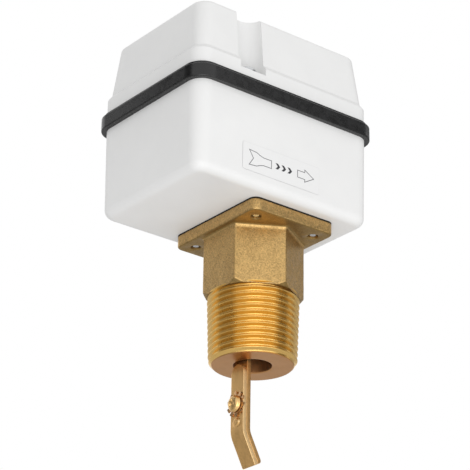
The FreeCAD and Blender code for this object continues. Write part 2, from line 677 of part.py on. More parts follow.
# ---------------------------------------------------------------- housing
def make_base_housing():
    body = new_body("base_housing")
    x = d("box_offset")
    rim = new_sketch(body, offset=SHOULDER)
    rounded_box(rim, x, "0", "Dims.rim_x / 2", "Dims.rim_y / 2", d("rim_corner"))
    shell = pad(body, rim, d("base_height"), down=True)
    shell.setExpression("TaperAngle", "-atan(Dims.base_draft / Dims.base_height)")
    low = size(FLOOR_LOW) + 1e-3
    fillet(body, shell, d("base_edge"), lambda box: box.ZMax < low)
    # flat pad that the cable gland seats on
    boss = new_sketch(body, "XZ_Plane")
    circle(boss, d("entry_x"), d("entry_z"), d("entry_pad_r"))
    pad(body, boss, ENTRY_SEAT, down=True)
    tongue = new_sketch(body, offset=SHOULDER)
    rounded_box(tongue, x, "0", "(Dims.rim_x / 2 - Dims.tongue_step)",
                "(Dims.rim_y / 2 - Dims.tongue_step)", "(Dims.rim_corner - Dims.tongue_step)")
    pad(body, tongue, d("tongue_height"))
    cavity = new_sketch(body, offset=FLOOR_TOP)
    rounded_box(cavity, x, "0", "(Dims.rim_x / 2 - Dims.base_wall)",
                "(Dims.rim_y / 2 - Dims.base_wall)", d("cavity_corner"))
    pocket(body, cavity, up=True)
    # two posts that the cover screws bite into
    posts = new_sketch(body, offset=FLOOR_TOP)
    post_r = "(Dims.cover_screw_inset - Dims.tongue_step)"
    circle(posts, FRONT_X, f"-{SCREW_Y}", post_r)
    circle(posts, REAR_X, SCREW_Y, post_r)
    pad(body, posts, "(Dims.base_height - Dims.floor_thk + Dims.tongue_height)")
    pilots = new_sketch(body, offset=f"({SHOULDER} + Dims.tongue_height)")
    pilot_r = "(Dims.cover_screw_r + Dims.run_gap)"
    circle(pilots, FRONT_X, f"-{SCREW_Y}", pilot_r)
    circle(pilots, REAR_X, SCREW_Y, pilot_r)
    pocket(body, pilots, "Dims.cover_screw_len")
    floor = new_sketch(body, offset=FLOOR_TOP)
    circle(floor, "0", "0", d("throat_r"))
    corner_holes(floor, FLANGE_HOLE_R)
    pocket(body, floor)
    # blind holes under the earth screw and for the terminal block screws
    blind = new_sketch(body, offset=FLOOR_TOP)
    circle(blind, "0", d("earth_y"), "Dims.earth_screw_r + Dims.hole_slack")
    for sign in (-1, 1):
        circle(blind, BLOCK_MID, f"{sign} * {BLOCK_SCREW_Y}", "Dims.block_screw_r + Dims.fit_gap")
    pocket(body, blind, d("blind_depth"))
    entry = new_sketch(body, "XZ_Plane")
    circle(entry, d("entry_x"), d("entry_z"), d("entry_r"))
    pocket(body, entry)


def make_rim_seal():
    body = new_body("rim_seal")
    x = d("box_offset")
    gap = d("fit_gap")
    ring = new_sketch(body, offset=SHOULDER)
    outer_x = "(Dims.rim_x / 2 + Dims.seal_reach)"
    outer_y = "(Dims.rim_y / 2 + Dims.seal_reach)"
    rounded_box(ring, x, "0", outer_x, outer_y, "(Dims.rim_corner + Dims.seal_reach)")
    inner_x = f"(Dims.rim_x / 2 - Dims.tongue_step + {gap})"
    inner_y = f"(Dims.rim_y / 2 - Dims.tongue_step + {gap})"
    rounded_box(ring, x, "0", inner_x, inner_y, f"(Dims.rim_corner - Dims.tongue_step + {gap})")
    band = pad(body, ring, d("seal_height"))
    inside = size(d("seal_reach")) / 2
    x_low = size(x) - size(outer_x) + inside
    x_high = size(x) + size(outer_x) - inside
    y_high = size(outer_y) - inside

    def on_outer_rim(box):
        wide = box.XMax > x_high or box.XMin < x_low
        deep = max(abs(box.YMin), abs(box.YMax)) > y_high
        return box.ZLength < 1e-3 and (wide or deep)

    fillet(body, band, d("seal_edge"), on_outer_rim)
    lip = new_sketch(body, offset=SEAL_TOP)
    for grow in (d("seal_lip"), "0"):
        rounded_box(lip, x, "0", f"(Dims.rim_x / 2 + {gap} + {grow})",
                    f"(Dims.rim_y / 2 + {gap} + {grow})", f"(Dims.rim_corner + {gap} + {grow})")
    pad(body, lip, d("seal_lip_height"))


def make_cover():
    body = new_body("cover")
    x = d("box_offset")
    foot = new_sketch(body, offset=SEAL_TOP)
    rounded_box(foot, x, "0", "Dims.rim_x / 2", "Dims.rim_y / 2", d("rim_corner"))
    pad(body, foot, d("skirt_height"))
    bevel_top = f"({SKIRT_TOP} + Dims.skirt_bevel)"
    foot_x = "(Dims.rim_x / 2 - Dims.cover_step)"
    foot_y = "(Dims.rim_y / 2 - Dims.cover_step)"
    top_x = "(Dims.rim_x / 2 - Dims.cover_step - Dims.cover_draft)"
    top_y = "(Dims.rim_y / 2 - Dims.cover_step - Dims.cover_draft)"
    edge = new_sketch(body, offset=SKIRT_TOP)
    rounded_box(edge, x, "0", "Dims.rim_x / 2", "Dims.rim_y / 2", d("rim_corner"))
    bevel = pad(body, edge, d("skirt_bevel"))
    bevel.setExpression("TaperAngle", "-atan(Dims.cover_step / Dims.skirt_bevel)")
    rise = new_sketch(body, offset=bevel_top)
    rounded_box(rise, x, "0", foot_x, foot_y, "(Dims.rim_corner - Dims.cover_step)")
    crown = new_sketch(body, offset=COVER_TOP)
    rounded_box(crown, x, "0", top_x, top_y, d("cover_top_corner"))
    shell = loft(body, rise, crown)
    high = size(COVER_TOP) - 1e-3
    fillet(body, shell, d("cover_edge"), lambda box: box.ZMin > high)
    # inside: an upright foot, then a drafted hollow, both clear of the screw channels
    bite = "(Dims.channel_r + Dims.channel_wall)"
    wall = d("cover_wall")
    lower = new_sketch(body, offset=SEAL_TOP)
    bitten_box(lower, "(Dims.rim_x / 2 - Dims.base_wall)", "(Dims.rim_y / 2 - Dims.base_wall)",
               d("cavity_corner"), bite)
    pocket(body, lower, d("skirt_height"), up=True)
    bottom = new_sketch(body, offset=SKIRT_TOP)
    bitten_box(bottom, f"({foot_x} - {wall})", f"({foot_y} - {wall})", d("cavity_corner"), bite)
    hollow = pocket(body, bottom, f"({COVER_TOP} - {wall} - {SKIRT_TOP})", up=True)
    hollow.setExpression("TaperAngle", "-atan(Dims.cover_draft / Dims.cover_height)")
    # the two upright channels, open to the long sides and to the top
    channels = new_sketch(body, offset=SCREW_SEAT)
    for centre_x, side in ((FRONT_X, -1), (REAR_X, 1)):
        channel_outline(channels, centre_x, side)
    pocket(body, channels, up=True)
    holes = new_sketch(body, offset=SCREW_SEAT)
    circle(holes, FRONT_X, f"-{SCREW_Y}", d("cover_hole_r"))
    circle(holes, REAR_X, SCREW_Y, d("cover_hole_r"))
    pocket(body, holes, "(Dims.seat_rise + 1)")


def channel_outline(sketch, x, side):
    """A U in plan: a half circle inside the wall and two straight sides running outwards."""
    far = f"{side} * (Dims.rim_y / 2 + 2)"
    centre = f"{side} * {CHANNEL_Y}"
    radius = d("channel_r")
    first, last = (0, 180) if side < 0 else (180, 360)
    bend = arc(sketch, x, centre, radius, first, last)
    sides = []
    for point, sign in ((1, 1 if side < 0 else -1), (2, -1 if side < 0 else 1)):
        start = sketch.getPoint(bend, point)
        end = Vector(start.x, size(far), 0)
        index = sketch.addGeometry(Part.LineSegment(start, end), False)
        sketch.addConstraint(Sketcher.Constraint("Tangent", bend, point, index, 1))
        pin_point(sketch, index, 2, f"{x} + {sign} * {radius}", far)
        sides.append(index)
    ends = [sketch.getPoint(index, 2) for index in sides]
    closing = sketch.addGeometry(Part.LineSegment(ends[0], ends[1]), False)
    sketch.addConstraint(Sketcher.Constraint("Coincident", sides[0], 2, closing, 1))
    sketch.addConstraint(Sketcher.Constraint("Coincident", sides[1], 2, closing, 2))


def make_cover_screws():
    for label, x, y in (("cover_screw_front", FRONT_X, f"-{SCREW_Y}"),
                        ("cover_screw_rear", REAR_X, SCREW_Y)):
        screw = pan_screw(label, d("cover_head_r"), d("cover_head"), d("cover_screw_r"),
                          d("cover_screw_len"))
        place(screw, x, y, SCREW_SEAT)


# ---------------------------------------------------------------- switch frame and pivot
def make_switch_frame():
    body = new_body("switch_frame")
    plate = new_sketch(body, offset=FLOOR_TOP)
    half = "Dims.plate_y / 2"
    box_outline(plate, d("plate_x0"), d("plate_x1"), f"-{half}", half)
    box_outline(plate, d("slot_x0"), d("slot_x1"), "-Dims.slot_y / 2", "Dims.slot_y / 2")
    corner_holes(plate, FLANGE_HOLE_R)
    circle(plate, "0", d("earth_y"), "Dims.earth_screw_r + Dims.run_gap")
    pad(body, plate, d("plate_thk"))
    # pivot ears: the +Y ear runs on upstream as the plate behind the microswitch
    for side in (-1, 1):
        inner = "-Dims.ear_gap / 2" if side > 0 else "Dims.ear_gap / 2"
        ear = new_sketch(body, "XZ_Plane", offset=inner)
        box_outline(ear, "-Dims.ear_r", d("ear_r"), FLOOR_TOP, d("pivot_rise"))
        pad(body, ear, d("plate_thk"), down=side > 0)
        dome = new_sketch(body, "XZ_Plane", offset=inner)
        circle(dome, "0", d("pivot_rise"), d("ear_r"))
        pad(body, dome, d("plate_thk"), down=side > 0)
    edge = d("micro_plate_edge")
    back = new_sketch(body, "XZ_Plane", offset="-Dims.ear_gap / 2")
    polygon(back, [
        (f"{MICRO_FAR} - {edge}", f"Dims.micro_low - {edge}"),
        ("Dims.plate_x0", f"Dims.micro_low - {edge}"),
        ("Dims.plate_x0", FLOOR_TOP),
        ("-Dims.ear_r * 0.9", FLOOR_TOP),
        ("-Dims.ear_r * 0.9", d("pivot_rise")),
        (f"Dims.micro_x + {edge}", "Dims.pivot_rise + Dims.ear_r + Dims.pin_r"),
        (f"Dims.micro_x + {edge}", f"{MICRO_TOP} + {edge}"),
        (f"{MICRO_FAR} - {edge}", f"{MICRO_TOP} + {edge}"),
    ])
    pad(body, back, d("plate_thk"), down=True)
    # post and bridge that carry the range screw
    post = new_sketch(body, "XZ_Plane")
    polygon(post, [
        (d("plate_x1"), FLOOR_TOP),
        (d("plate_x1"), d("bridge_top")),
        (d("bridge_x0"), d("bridge_top")),
        (d("bridge_x0"), "Dims.bridge_top - Dims.plate_thk"),
        ("Dims.plate_x1 - Dims.plate_thk", "Dims.bridge_top - Dims.plate_thk"),
        ("Dims.plate_x1 - Dims.plate_thk", FLOOR_TOP),
    ])
    pad(body, post, d("bridge_y"), symmetric=True)
    drill = new_sketch(body, offset="Dims.bridge_top + 1")
    circle(drill, d("range_x"), "0", "Dims.range_screw_r + Dims.run_gap")
    pocket(body, drill, "Dims.plate_thk + 2")
    pin_hole = new_sketch(body, "XZ_Plane")
    circle(pin_hole, "0", d("pivot_rise"), d("pin_r"))
    pocket(body, pin_hole, "Dims.ear_gap * 3", symmetric=True)
    screw_holes = new_sketch(body, "XZ_Plane")
    for z in MICRO_HOLES:
        circle(screw_holes, MICRO_HOLE_X, z, "Dims.micro_screw_r + Dims.fit_gap")
    pocket(body, screw_holes)


def make_pivot():
    pin = new_body("pivot_pin")
    half = f"({EAR_OUT} + Dims.pin_over)"
    clip_low = f"({EAR_OUT} + Dims.clip_gap * 1.5)"
    clip_high = f"({clip_low} + Dims.clip_thk)"
    groove_low = f"({clip_low} - Dims.clip_gap / 2)"
    groove_high = f"({clip_high} + Dims.clip_gap / 2)"
    radius = d("pin_r")
    waist = "(Dims.pin_r - Dims.pin_waist)"
    bevel = d("pin_bevel")
    turned(pin, [
        ("0", f"-{half}"), (f"{radius} - {bevel}", f"-{half}"), (radius, f"-{half} + {bevel}"),
        (radius, f"-{groove_high}"), (waist, f"-{groove_high}"),
        (waist, f"-{groove_low}"), (radius, f"-{groove_low}"),
        (radius, groove_low), (waist, groove_low),
        (waist, groove_high), (radius, groove_high),
        (radius, f"{half} - {bevel}"), (f"{radius} - {bevel}", half), ("0", half),
    ])
    place(pin, "0", "0", d("pivot_rise"), Rotation(Vector(1, 0, 0), QUARTER_TURN))
    clips = new_body("pin_clips")
    for low in (f"-{clip_high}", clip_low):
        ring = new_sketch(clips, offset=low)
        circle(ring, "0", "0", "Dims.pin_r + Dims.clip_reach")
        circle(ring, "0", "0", waist)
        pad(clips, ring, d("clip_thk"))
    place(clips, "0", "0", d("pivot_rise"), Rotation(Vector(1, 0, 0), QUARTER_TURN))


# ---------------------------------------------------------------- paddle lever
def make_rocker():
    body = new_body("rocker")
    face = d("arm_face")
    hub = new_sketch(body, "XZ_Plane")
    circle(hub, "0", d("pivot_rise"), d("hub_r"))
    pad(body, hub, d("hub_width"), symmetric=True)
    strip = new_sketch(body, "XZ_Plane")
    polygon(strip, [
        (face, "Dims.pivot_rise - Dims.hub_r"),
        ("0", "Dims.pivot_rise - Dims.hub_r"),
        ("0", "Dims.pivot_rise + Dims.hub_r"),
        (f"{face} + Dims.strip_thk", "Dims.pivot_rise + Dims.hub_r * 1.1"),
        (f"{face} + Dims.strip_thk", d("arm_top")),
        (face, d("arm_top")),
    ])
    pad(body, strip, d("arm_width"), symmetric=True)
    leg = new_sketch(body, "XZ_Plane")
    foot = f"({PLATE_TOP} + Dims.foot_gap)"
    polygon(leg, [
        ("0", d("leg_low")),
        ("Dims.leg_reach - Dims.foot_x", d("leg_low")),
        ("Dims.leg_reach - Dims.foot_x", foot),
        (d("leg_reach"), foot),
        (d("leg_reach"), LEG_TOP),
        ("0", LEG_TOP),
    ])
    pad(body, leg, d("rocker_width"), symmetric=True)
    spring_seat = new_sketch(body, offset=LEG_TOP)
    seat_r = "Dims.spring_r - Dims.spring_wire - Dims.spring_gap"
    circle(spring_seat, d("range_x"), "0", seat_r)
    pad(body, spring_seat, d("spring_pin"))
    pin_hole = new_sketch(body, "XZ_Plane")
    circle(pin_hole, "0", d("pivot_rise"), PIN_HOLE_R)
    pocket(body, pin_hole, "Dims.hub_width + 2", symmetric=True)
    rivets = new_sketch(body, "YZ_Plane")
    for z, radius in stem_holes():
        circle(rivets, "0", z, radius)
    pocket(body, rivets, None, symmetric=True)


def stem_holes():
    """Heights and radii of the three stems that join the arm to the rocker."""
    return [
        ("Dims.plunger_z - Dims.rivet_pitch / 2", d("rivet_r")),
        (d("plunger_z"), d("rivet_r")),
        ("Dims.plunger_z + Dims.rivet_pitch / 2", d("rivet_r")),
    ]


def bent_strip(body, centre_x, thickness, top, width):
    """A flat strip that hangs down and is bent downstream near its free end."""
    shift = f"({centre_x} - {ARM_BACK})"
    half_turn = "Dims.bend_angle / 2 * 1 deg"
    corner = f"({BEND_Z} + {shift} * tan({half_turn}))"
    radius = f"(Dims.bend_r - {shift})"
    tangent = f"({radius} * tan({half_turn}))"
    length = f"(Dims.bent_len - {shift} * tan({half_turn}))"
    turn = "Dims.bend_angle * 1 deg"
    start_z = f"({corner} + {tangent})"
    bend_x = f"({centre_x} + {tangent} * sin({turn}))"
    bend_z = f"({corner} - {tangent} * cos({turn}))"
    end_x = f"({centre_x} + {length} * sin({turn}))"
    end_z = f"({corner} - {length} * cos({turn}))"
    spine = new_sketch(body, "XZ_Plane")
    points = [(centre_x, top), (centre_x, start_z), (bend_x, bend_z), (end_x, end_z)]
    spots = [Vector(size(a), size(b), 0) for a, b in points]
    upright = spine.addGeometry(Part.LineSegment(spots[0], spots[1]), False)
    swing_end = 180 + size(d("bend_angle"))
    swing = arc(spine, f"({centre_x} + {radius})", start_z, radius, 180, swing_end)
    tail = spine.addGeometry(Part.LineSegment(spots[2], spots[3]), False)
    pin_point(spine, upright, 1, *points[0])
    spine.addConstraint(Sketcher.Constraint("Tangent", upright, 2, swing, 1))
    spine.addConstraint(Sketcher.Constraint("Tangent", swing, 2, tail, 1))
    pin_point(spine, tail, 2, *points[3])
    section = new_sketch(body, offset=top)
    box_outline(section, f"({centre_x} - {thickness} / 2)", f"({centre_x} + {thickness} / 2)",
                f"-{width} / 2", f"{width} / 2")
    strip = add(body, "PartDesign::AdditivePipe", section)
    strip.Spine = spine
    return strip


def make_paddle_arm():
    body = new_body("paddle_arm")
    centre = "(Dims.arm_face - Dims.arm_thk / 2)"
    bent_strip(body, centre, d("arm_thk"), d("arm_top"), d("arm_width"))
    holes = new_sketch(body, "YZ_Plane")
    for z, radius in stem_holes():
        circle(holes, "0", z, radius)
    circle(holes, "0", CLAMP_SCREW_Z, "Dims.clamp_screw_r + Dims.run_gap")
    pocket(body, holes, None, symmetric=True)


def make_paddle_clamp():
    body = new_body("paddle_clamp")
    centre = f"({ARM_BACK} - Dims.clamp_thk / 2)"
    strip = bent_strip(body, centre, d("clamp_thk"), CLAMP_TOP, d("arm_width"))
    top = size(CLAMP_TOP)
    thick = size(d("clamp_thk"))

    def upper_corner(box):
        across = abs(box.XLength - thick) < 1e-3 and box.YLength < 1e-3
        return across and box.ZMin > top - 1e-3

    fillet(body, strip, "Dims.arm_width / 2 - Dims.fit_gap", upper_corner)
    root = "(Dims.clamp_thk / 8)"
    rib = new_sketch(body, "YZ_Plane", offset=f"({CLAMP_FACE} + {root})")
    rounded_box(rib, "0", RIB_Z, d("dimple_half_y"), d("dimple_half_z"),
                "(Dims.dimple_half_z - Dims.fit_gap)")
    bump = pad(body, rib, f"Dims.dimple_rise + {root}", down=True)
    front = size(CLAMP_FACE) - size(d("dimple_rise"))

    def rib_edge(box):
        return box.XMax < front + 1e-2 and box.XLength < 1e-3

    fillet(body, bump, d("dimple_edge"), rib_edge)
    hole = new_sketch(body, "YZ_Plane")
    circle(hole, "0", CLAMP_SCREW_Z, "Dims.clamp_screw_r + Dims.hole_slack")
    pocket(body, hole, None, symmetric=True)


def make_clamp_screw():
    length = "(Dims.arm_thk + Dims.clamp_thk + Dims.washer_thk + Dims.clamp_tip)"
    screw = pan_screw("clamp_screw", d("clamp_head_r"), d("clamp_head"), d("clamp_screw_r"),
                      length)
    place(screw, f"{CLAMP_FACE} - Dims.washer_thk", "0", CLAMP_SCREW_Z,
          Rotation(Vector(0, 1, 0), -QUARTER_TURN))
    washer = new_body("star_washer")
    teeth = new_sketch(washer)
    points = []
    count = int(size(d("washer_teeth")))
    valley = "Dims.washer_r - Dims.tooth_len"
    # shares of one tooth's turn: the tooth's two corners, then the valley's
    shares = ((-0.32, d("washer_r")), (0.16, d("washer_r")), (0.2, valley), (0.64, valley))
    for number in range(count):
        for step, reach in shares:
            angle = 360.0 * (number + step) / count
            points.append((f"({reach}) * cos({angle} deg)", f"({reach}) * sin({angle} deg)"))
    polygon(teeth, points)
    circle(teeth, "0", "0", "Dims.clamp_screw_r + Dims.hole_slack")
    pad(washer, teeth, d("washer_thk"))
    place(washer, f"{CLAMP_FACE} - Dims.washer_thk", "0", CLAMP_SCREW_Z,
          Rotation(Vector(0, 1, 0), QUARTER_TURN))


def make_arm_fixings():
    rivets = new_body("arm_rivets")
    thickness = "(Dims.arm_thk + Dims.strip_thk)"
    heights = [stem_holes()[0], stem_holes()[2]]
    stem = new_sketch(rivets, "YZ_Plane", offset=ARM_BACK)
    for z, radius in heights:
        circle(stem, "0", z, radius)
    pad(rivets, stem, thickness)
    for offset, back in ((ARM_BACK, True), (f"({ARM_BACK} + {thickness})", False)):
        head = new_sketch(rivets, "YZ_Plane", offset=offset)
        for z, radius in heights:
            circle(head, "0", z, f"{radius} + Dims.rivet_lip")
        pad(rivets, head, d("rivet_head"), down=back)
    striker = new_body("striker")
    reach = f"({ARM_BACK} - Dims.micro_x - Dims.plunger_out - Dims.striker_gap)"
    radius = d("striker_r")
    turned(striker, [
        ("0", f"-{thickness}"), (d("rivet_r"), f"-{thickness}"), (d("rivet_r"), "0"),
        (radius, "0"), (radius, f"{reach} - Dims.striker_edge"),
        (f"{radius} * 0.75", f"{reach} - Dims.striker_edge / 3"),
        (f"{radius} * 0.4", reach), ("0", reach),
    ])
    place(striker, ARM_BACK, "0", d("plunger_z"), Rotation(Vector(0, 1, 0), -QUARTER_TURN))


# ---------------------------------------------------------------- bellows
def make_bellows():
    collar = new_body("bellows_flange")
    disc = new_sketch(collar)
    circle(disc, "0", "0", d("collar_r"))
    circle(disc, "0", "0", "Dims.bellows_root_r + Dims.bellows_wall")
    pad(collar, disc, d("collar_thk"), down=True)
    body = new_body("bellows")
    wall = d("bellows_wall")
    outer = []
    inner = []
    waves = int(size(d("bellows_waves")))
    for number in range(waves):
        for share, reach in ((0.0, "bellows_root_r"), (0.4, "bellows_crest_r"),
                             (0.65, "bellows_crest_r")):
            z = f"-(Dims.collar_thk + Dims.bellows_len * {(number + share) / waves})"
            step = wall if reach == "bellows_root_r" else "0"
            outer.append((f"{d(reach)} + {step}", z))
            inner.append((f"{d(reach)} + {step} - {wall}", z))
    low = "-(Dims.collar_thk + Dims.bellows_len)"
    outer.append((f"Dims.bellows_root_r + {wall}", low))
    inner.append((d("bellows_root_r"), low))
    top_out = [(f"Dims.bellows_root_r + {wall}", "0")]
    top_in = [(d("bellows_root_r"), "0")]
    turned(body, top_out + outer + inner[::-1] + top_in)
    cap = new_body("bellows_cap")
    disc = new_sketch(cap, offset=low)
    circle(disc, "0", "0", d("cap_r"))
    box_outline(disc, ARM_BACK, d("arm_face"), "-Dims.arm_width / 2", "Dims.arm_width / 2")
    pad(cap, disc, d("cap_thk"), down=True)


# ---------------------------------------------------------------- range spring
def make_range_adjuster():
    head_low = d("bridge_top")
    length = f"({head_low} - Dims.range_screw_tip)"
    screw = new_body("range_screw")
    radius = d("range_screw_r")
    waist = "(Dims.range_screw_r - Dims.range_bevel)"
    clip_top = "(Dims.plate_thk + Dims.range_clip_gap)"
    groove_high = f"-({clip_top} - Dims.range_clip_gap / 3)"
    groove_low = f"-({clip_top} + Dims.range_clip_thk + Dims.range_clip_gap / 3)"
    tip = d("range_tip")
    head_r = d("range_head_r")
    turned(screw, [
        ("0", f"-{length}"), (f"{radius} - {tip}", f"-{length}"), (radius, f"-{length} + {tip}"),
        (radius, groove_low), (waist, groove_low),
        (waist, groove_high), (radius, groove_high), (radius, "0"),
        (head_r, "0"), (head_r, "Dims.range_head - Dims.range_bevel"),
        (f"{head_r} - Dims.range_bevel", d("range_head")), ("0", d("range_head")),
    ])
    place(screw, d("range_x"), "0", head_low)
    clip = new_body("range_clip")
    ring = new_sketch(clip)
    circle(ring, "0", "0", f"{radius} + Dims.clip_reach")
    circle(ring, "0", "0", waist)
    pad(clip, ring, d("range_clip_thk"))
    place(clip, d("range_x"), "0", f"{head_low} - {clip_top} - Dims.range_clip_thk")
    nut = new_body("spring_nut")
    block = new_sketch(nut, offset=d("nut_low"))
    box_outline(block, "Dims.range_x - Dims.nut_width / 2",
                "Dims.plate_x1 - Dims.plate_thk - Dims.hole_slack", "-Dims.nut_width / 2",
                "Dims.nut_width / 2")
    circle(block, d("range_x"), "0", f"{radius} + Dims.run_gap")
    pad(nut, block, d("nut_thk"))
    cup = new_sketch(nut, offset=d("nut_low"))
    circle(cup, d("range_x"), "0", "Dims.spring_r + Dims.spring_wire + Dims.spring_gap")
    pocket(nut, cup, d("nut_cup"), up=True)
    spring = new_body("range_spring")
    wire = new_sketch(spring, "XZ_Plane")
    box_outline(wire, "(Dims.spring_r - Dims.spring_wire)", "(Dims.spring_r + Dims.spring_wire)",
                "0", "2 * Dims.spring_wire")
    coil = spring.newObject("PartDesign::AdditiveHelix", "Coil")
    coil.Profile = wire
    coil.ReferenceAxis = (wire, ["V_Axis"])
    coil.Mode = "height-turns-angle"
    room = f"(Dims.nut_low + Dims.nut_cup - {LEG_TOP})"
    coil.setExpression("Height", f"{room} - 2 * Dims.spring_wire")
    coil.setExpression("Turns", d("spring_turns"))
    place(spring, d("range_x"), "0", LEG_TOP)


# ---------------------------------------------------------------- microswitch
def make_microswitch():
    body = new_body("microswitch")
    far = MICRO_FAR
    bevel = d("micro_bevel")
    case = new_sketch(body, "XZ_Plane")
    polygon(case, [
        (far, d("micro_low")), (d("micro_x"), d("micro_low")), (d("micro_x"), MICRO_TOP),
        (f"{far} + {bevel}", MICRO_TOP), (far, f"{MICRO_TOP} - {bevel}"),
    ])
    pad(body, case, d("micro_width"), symmetric=True)
    well = new_sketch(body, "YZ_Plane", offset=d("micro_x"))
    circle(well, "0", d("plunger_z"), "Dims.plunger_r + Dims.run_gap")
    pocket(body, well, d("plunger_well"))
    holes = new_sketch(body, "XZ_Plane")
    for z in MICRO_HOLES:
        circle(holes, MICRO_HOLE_X, z, d("micro_hole_r"))
    pocket(body, holes, None, symmetric=True)
    plunger = new_body("switch_plunger")
    radius = d("plunger_r")
    turned(plunger, [
        ("0", "-Dims.plunger_in"), (radius, "-Dims.plunger_in"),
        (radius, "Dims.plunger_out - Dims.plunger_bevel"),
        (f"{radius} - Dims.plunger_bevel", d("plunger_out")), ("0", d("plunger_out")),
    ])
    place(plunger, d("micro_x"), "0", d("plunger_z"), Rotation(Vector(0, 1, 0), QUARTER_TURN))
    tabs = new_body("switch_terminals")
    outline = new_sketch(tabs, "XZ_Plane")
    for share in (0.1, 0.55, 0.9):
        middle = f"Dims.micro_low + Dims.micro_height * {share}"
        box_outline(outline, f"{far} - Dims.tab_len", far, f"{middle} - Dims.tab_thk / 2",
                    f"{middle} + Dims.tab_thk / 2")
    pad(tabs, outline, d("tab_width"), symmetric=True)
    screws = new_body("microswitch_screws")
    shank = new_sketch(screws, "XZ_Plane", offset="Dims.micro_width / 2")
    head = new_sketch(screws, "XZ_Plane", offset="Dims.micro_width / 2")
    for z in MICRO_HOLES:
        circle(shank, MICRO_HOLE_X, z, d("micro_screw_r"))
        circle(head, MICRO_HOLE_X, z, d("micro_head_r"))
    pad(screws, shank, "Dims.micro_width + Dims.plate_thk + Dims.micro_screw_out", down=True)
    pad(screws, head, d("micro_head"))


# ---------------------------------------------------------------- terminals
def pole_places():
    return [(BLOCK_MID, f"{step} * Dims.pole_pitch") for step in (-1, 0, 1)]


def make_terminal_block():
    body = new_body("terminal_block")
    base = new_sketch(body, offset=FLOOR_TOP)
    box_outline(base, BLOCK_X0, BLOCK_X1, f"-{BLOCK_HALF}", BLOCK_HALF)
    pad(body, base, d("block_foot"))
    tower = new_sketch(body, offset=BLOCK_FOOT)
    box_outline(tower, BLOCK_X0, BLOCK_X1, f"-{TOWER_HALF}", TOWER_HALF)
    pad(body, tower, "Dims.block_z - Dims.block_foot")
    pockets = new_sketch(body, offset=POLE_FLOOR)
    for x, y in pole_places():
        box_outline(pockets, f"{x} - Dims.pole_x / 2", f"{x} + Dims.pole_x / 2",
                    f"{y} - Dims.pole_y / 2", f"{y} + Dims.pole_y / 2")
    pocket(body, pockets, up=True)
    entries = new_sketch(body, "YZ_Plane", offset=f"{BLOCK_X0} - 1")
    for x, y in pole_places():
        circle(entries, y, WIRE_Z, "Dims.wire_r + Dims.hole_slack")
    pocket(body, entries, f"{BLOCK_X1} - {BLOCK_X0} + 2", up=True)
    fixings = new_sketch(body, offset=BLOCK_FOOT)
    for sign in (-1, 1):
        circle(fixings, BLOCK_MID, f"{sign} * {BLOCK_SCREW_Y}",
               "Dims.block_screw_r + Dims.hole_slack")
    pocket(body, fixings)

    clips = new_body("terminal_clamps")
    outline = new_sketch(clips, offset=POLE_FLOOR)
    half_x = "(Dims.pole_x / 2 - Dims.clip_slack)"
    half_y = "(Dims.pole_y / 2 - Dims.clip_slack)"
    for x, y in pole_places():
        box_outline(outline, f"{x} - {half_x}", f"{x} + {half_x}",
                    f"{y} - {half_y}", f"{y} + {half_y}")
    pad(clips, outline, d("clip_height"))
    wires = new_sketch(clips, "YZ_Plane")
    for x, y in pole_places():
        circle(wires, y, WIRE_Z, d("wire_r"))
    pocket(clips, wires, None, symmetric=True)
    clip_top = f"({POLE_FLOOR} + Dims.clip_height)"
    taps = new_sketch(clips, offset=clip_top)
    for x, y in pole_places():
        circle(taps, x, y, "Dims.terminal_screw_r + Dims.run_gap")
    pocket(clips, taps, "Dims.clip_height - Dims.wire_rise")
    for number, (x, y) in enumerate(pole_places(), start=1):
        screw = pan_screw(f"terminal_screw_{number}", d("terminal_head_r"), d("terminal_head"),
                          d("terminal_screw_r"),
                          "(Dims.clip_height - Dims.wire_rise - Dims.wire_r)")
        place(screw, x, y, clip_top)
    screws = new_body("block_screws")
    stem = "(Dims.block_foot + Dims.block_screw_in)"
    for radius, height, down in ((d("block_screw_r"), stem, True),
                                 (d("block_head_r"), d("block_head"), False)):
        stage = new_sketch(screws, offset=BLOCK_FOOT)
        for sign in (-1, 1):
            circle(stage, BLOCK_MID, f"{sign} * {BLOCK_SCREW_Y}", radius)
        pad(screws, stage, height, down=down)


def make_earth_screw():
    washer = new_body("earth_washer")
    outline = new_sketch(washer, offset=PLATE_TOP)
    half = d("earth_washer")
    box_outline(outline, f"-{half}", half, f"Dims.earth_y - {half}", f"Dims.earth_y + {half}")
    circle(outline, "0", d("earth_y"), "Dims.earth_screw_r + Dims.hole_slack")
    pad(washer, outline, d("earth_washer_thk"))
    screw = pan_screw("earth_screw", d("earth_head_r"), d("earth_head"), d("earth_screw_r"),
                      "Dims.plate_thk + Dims.earth_tip")
    place(screw, "0", d("earth_y"), f"{PLATE_TOP} + Dims.earth_washer_thk")


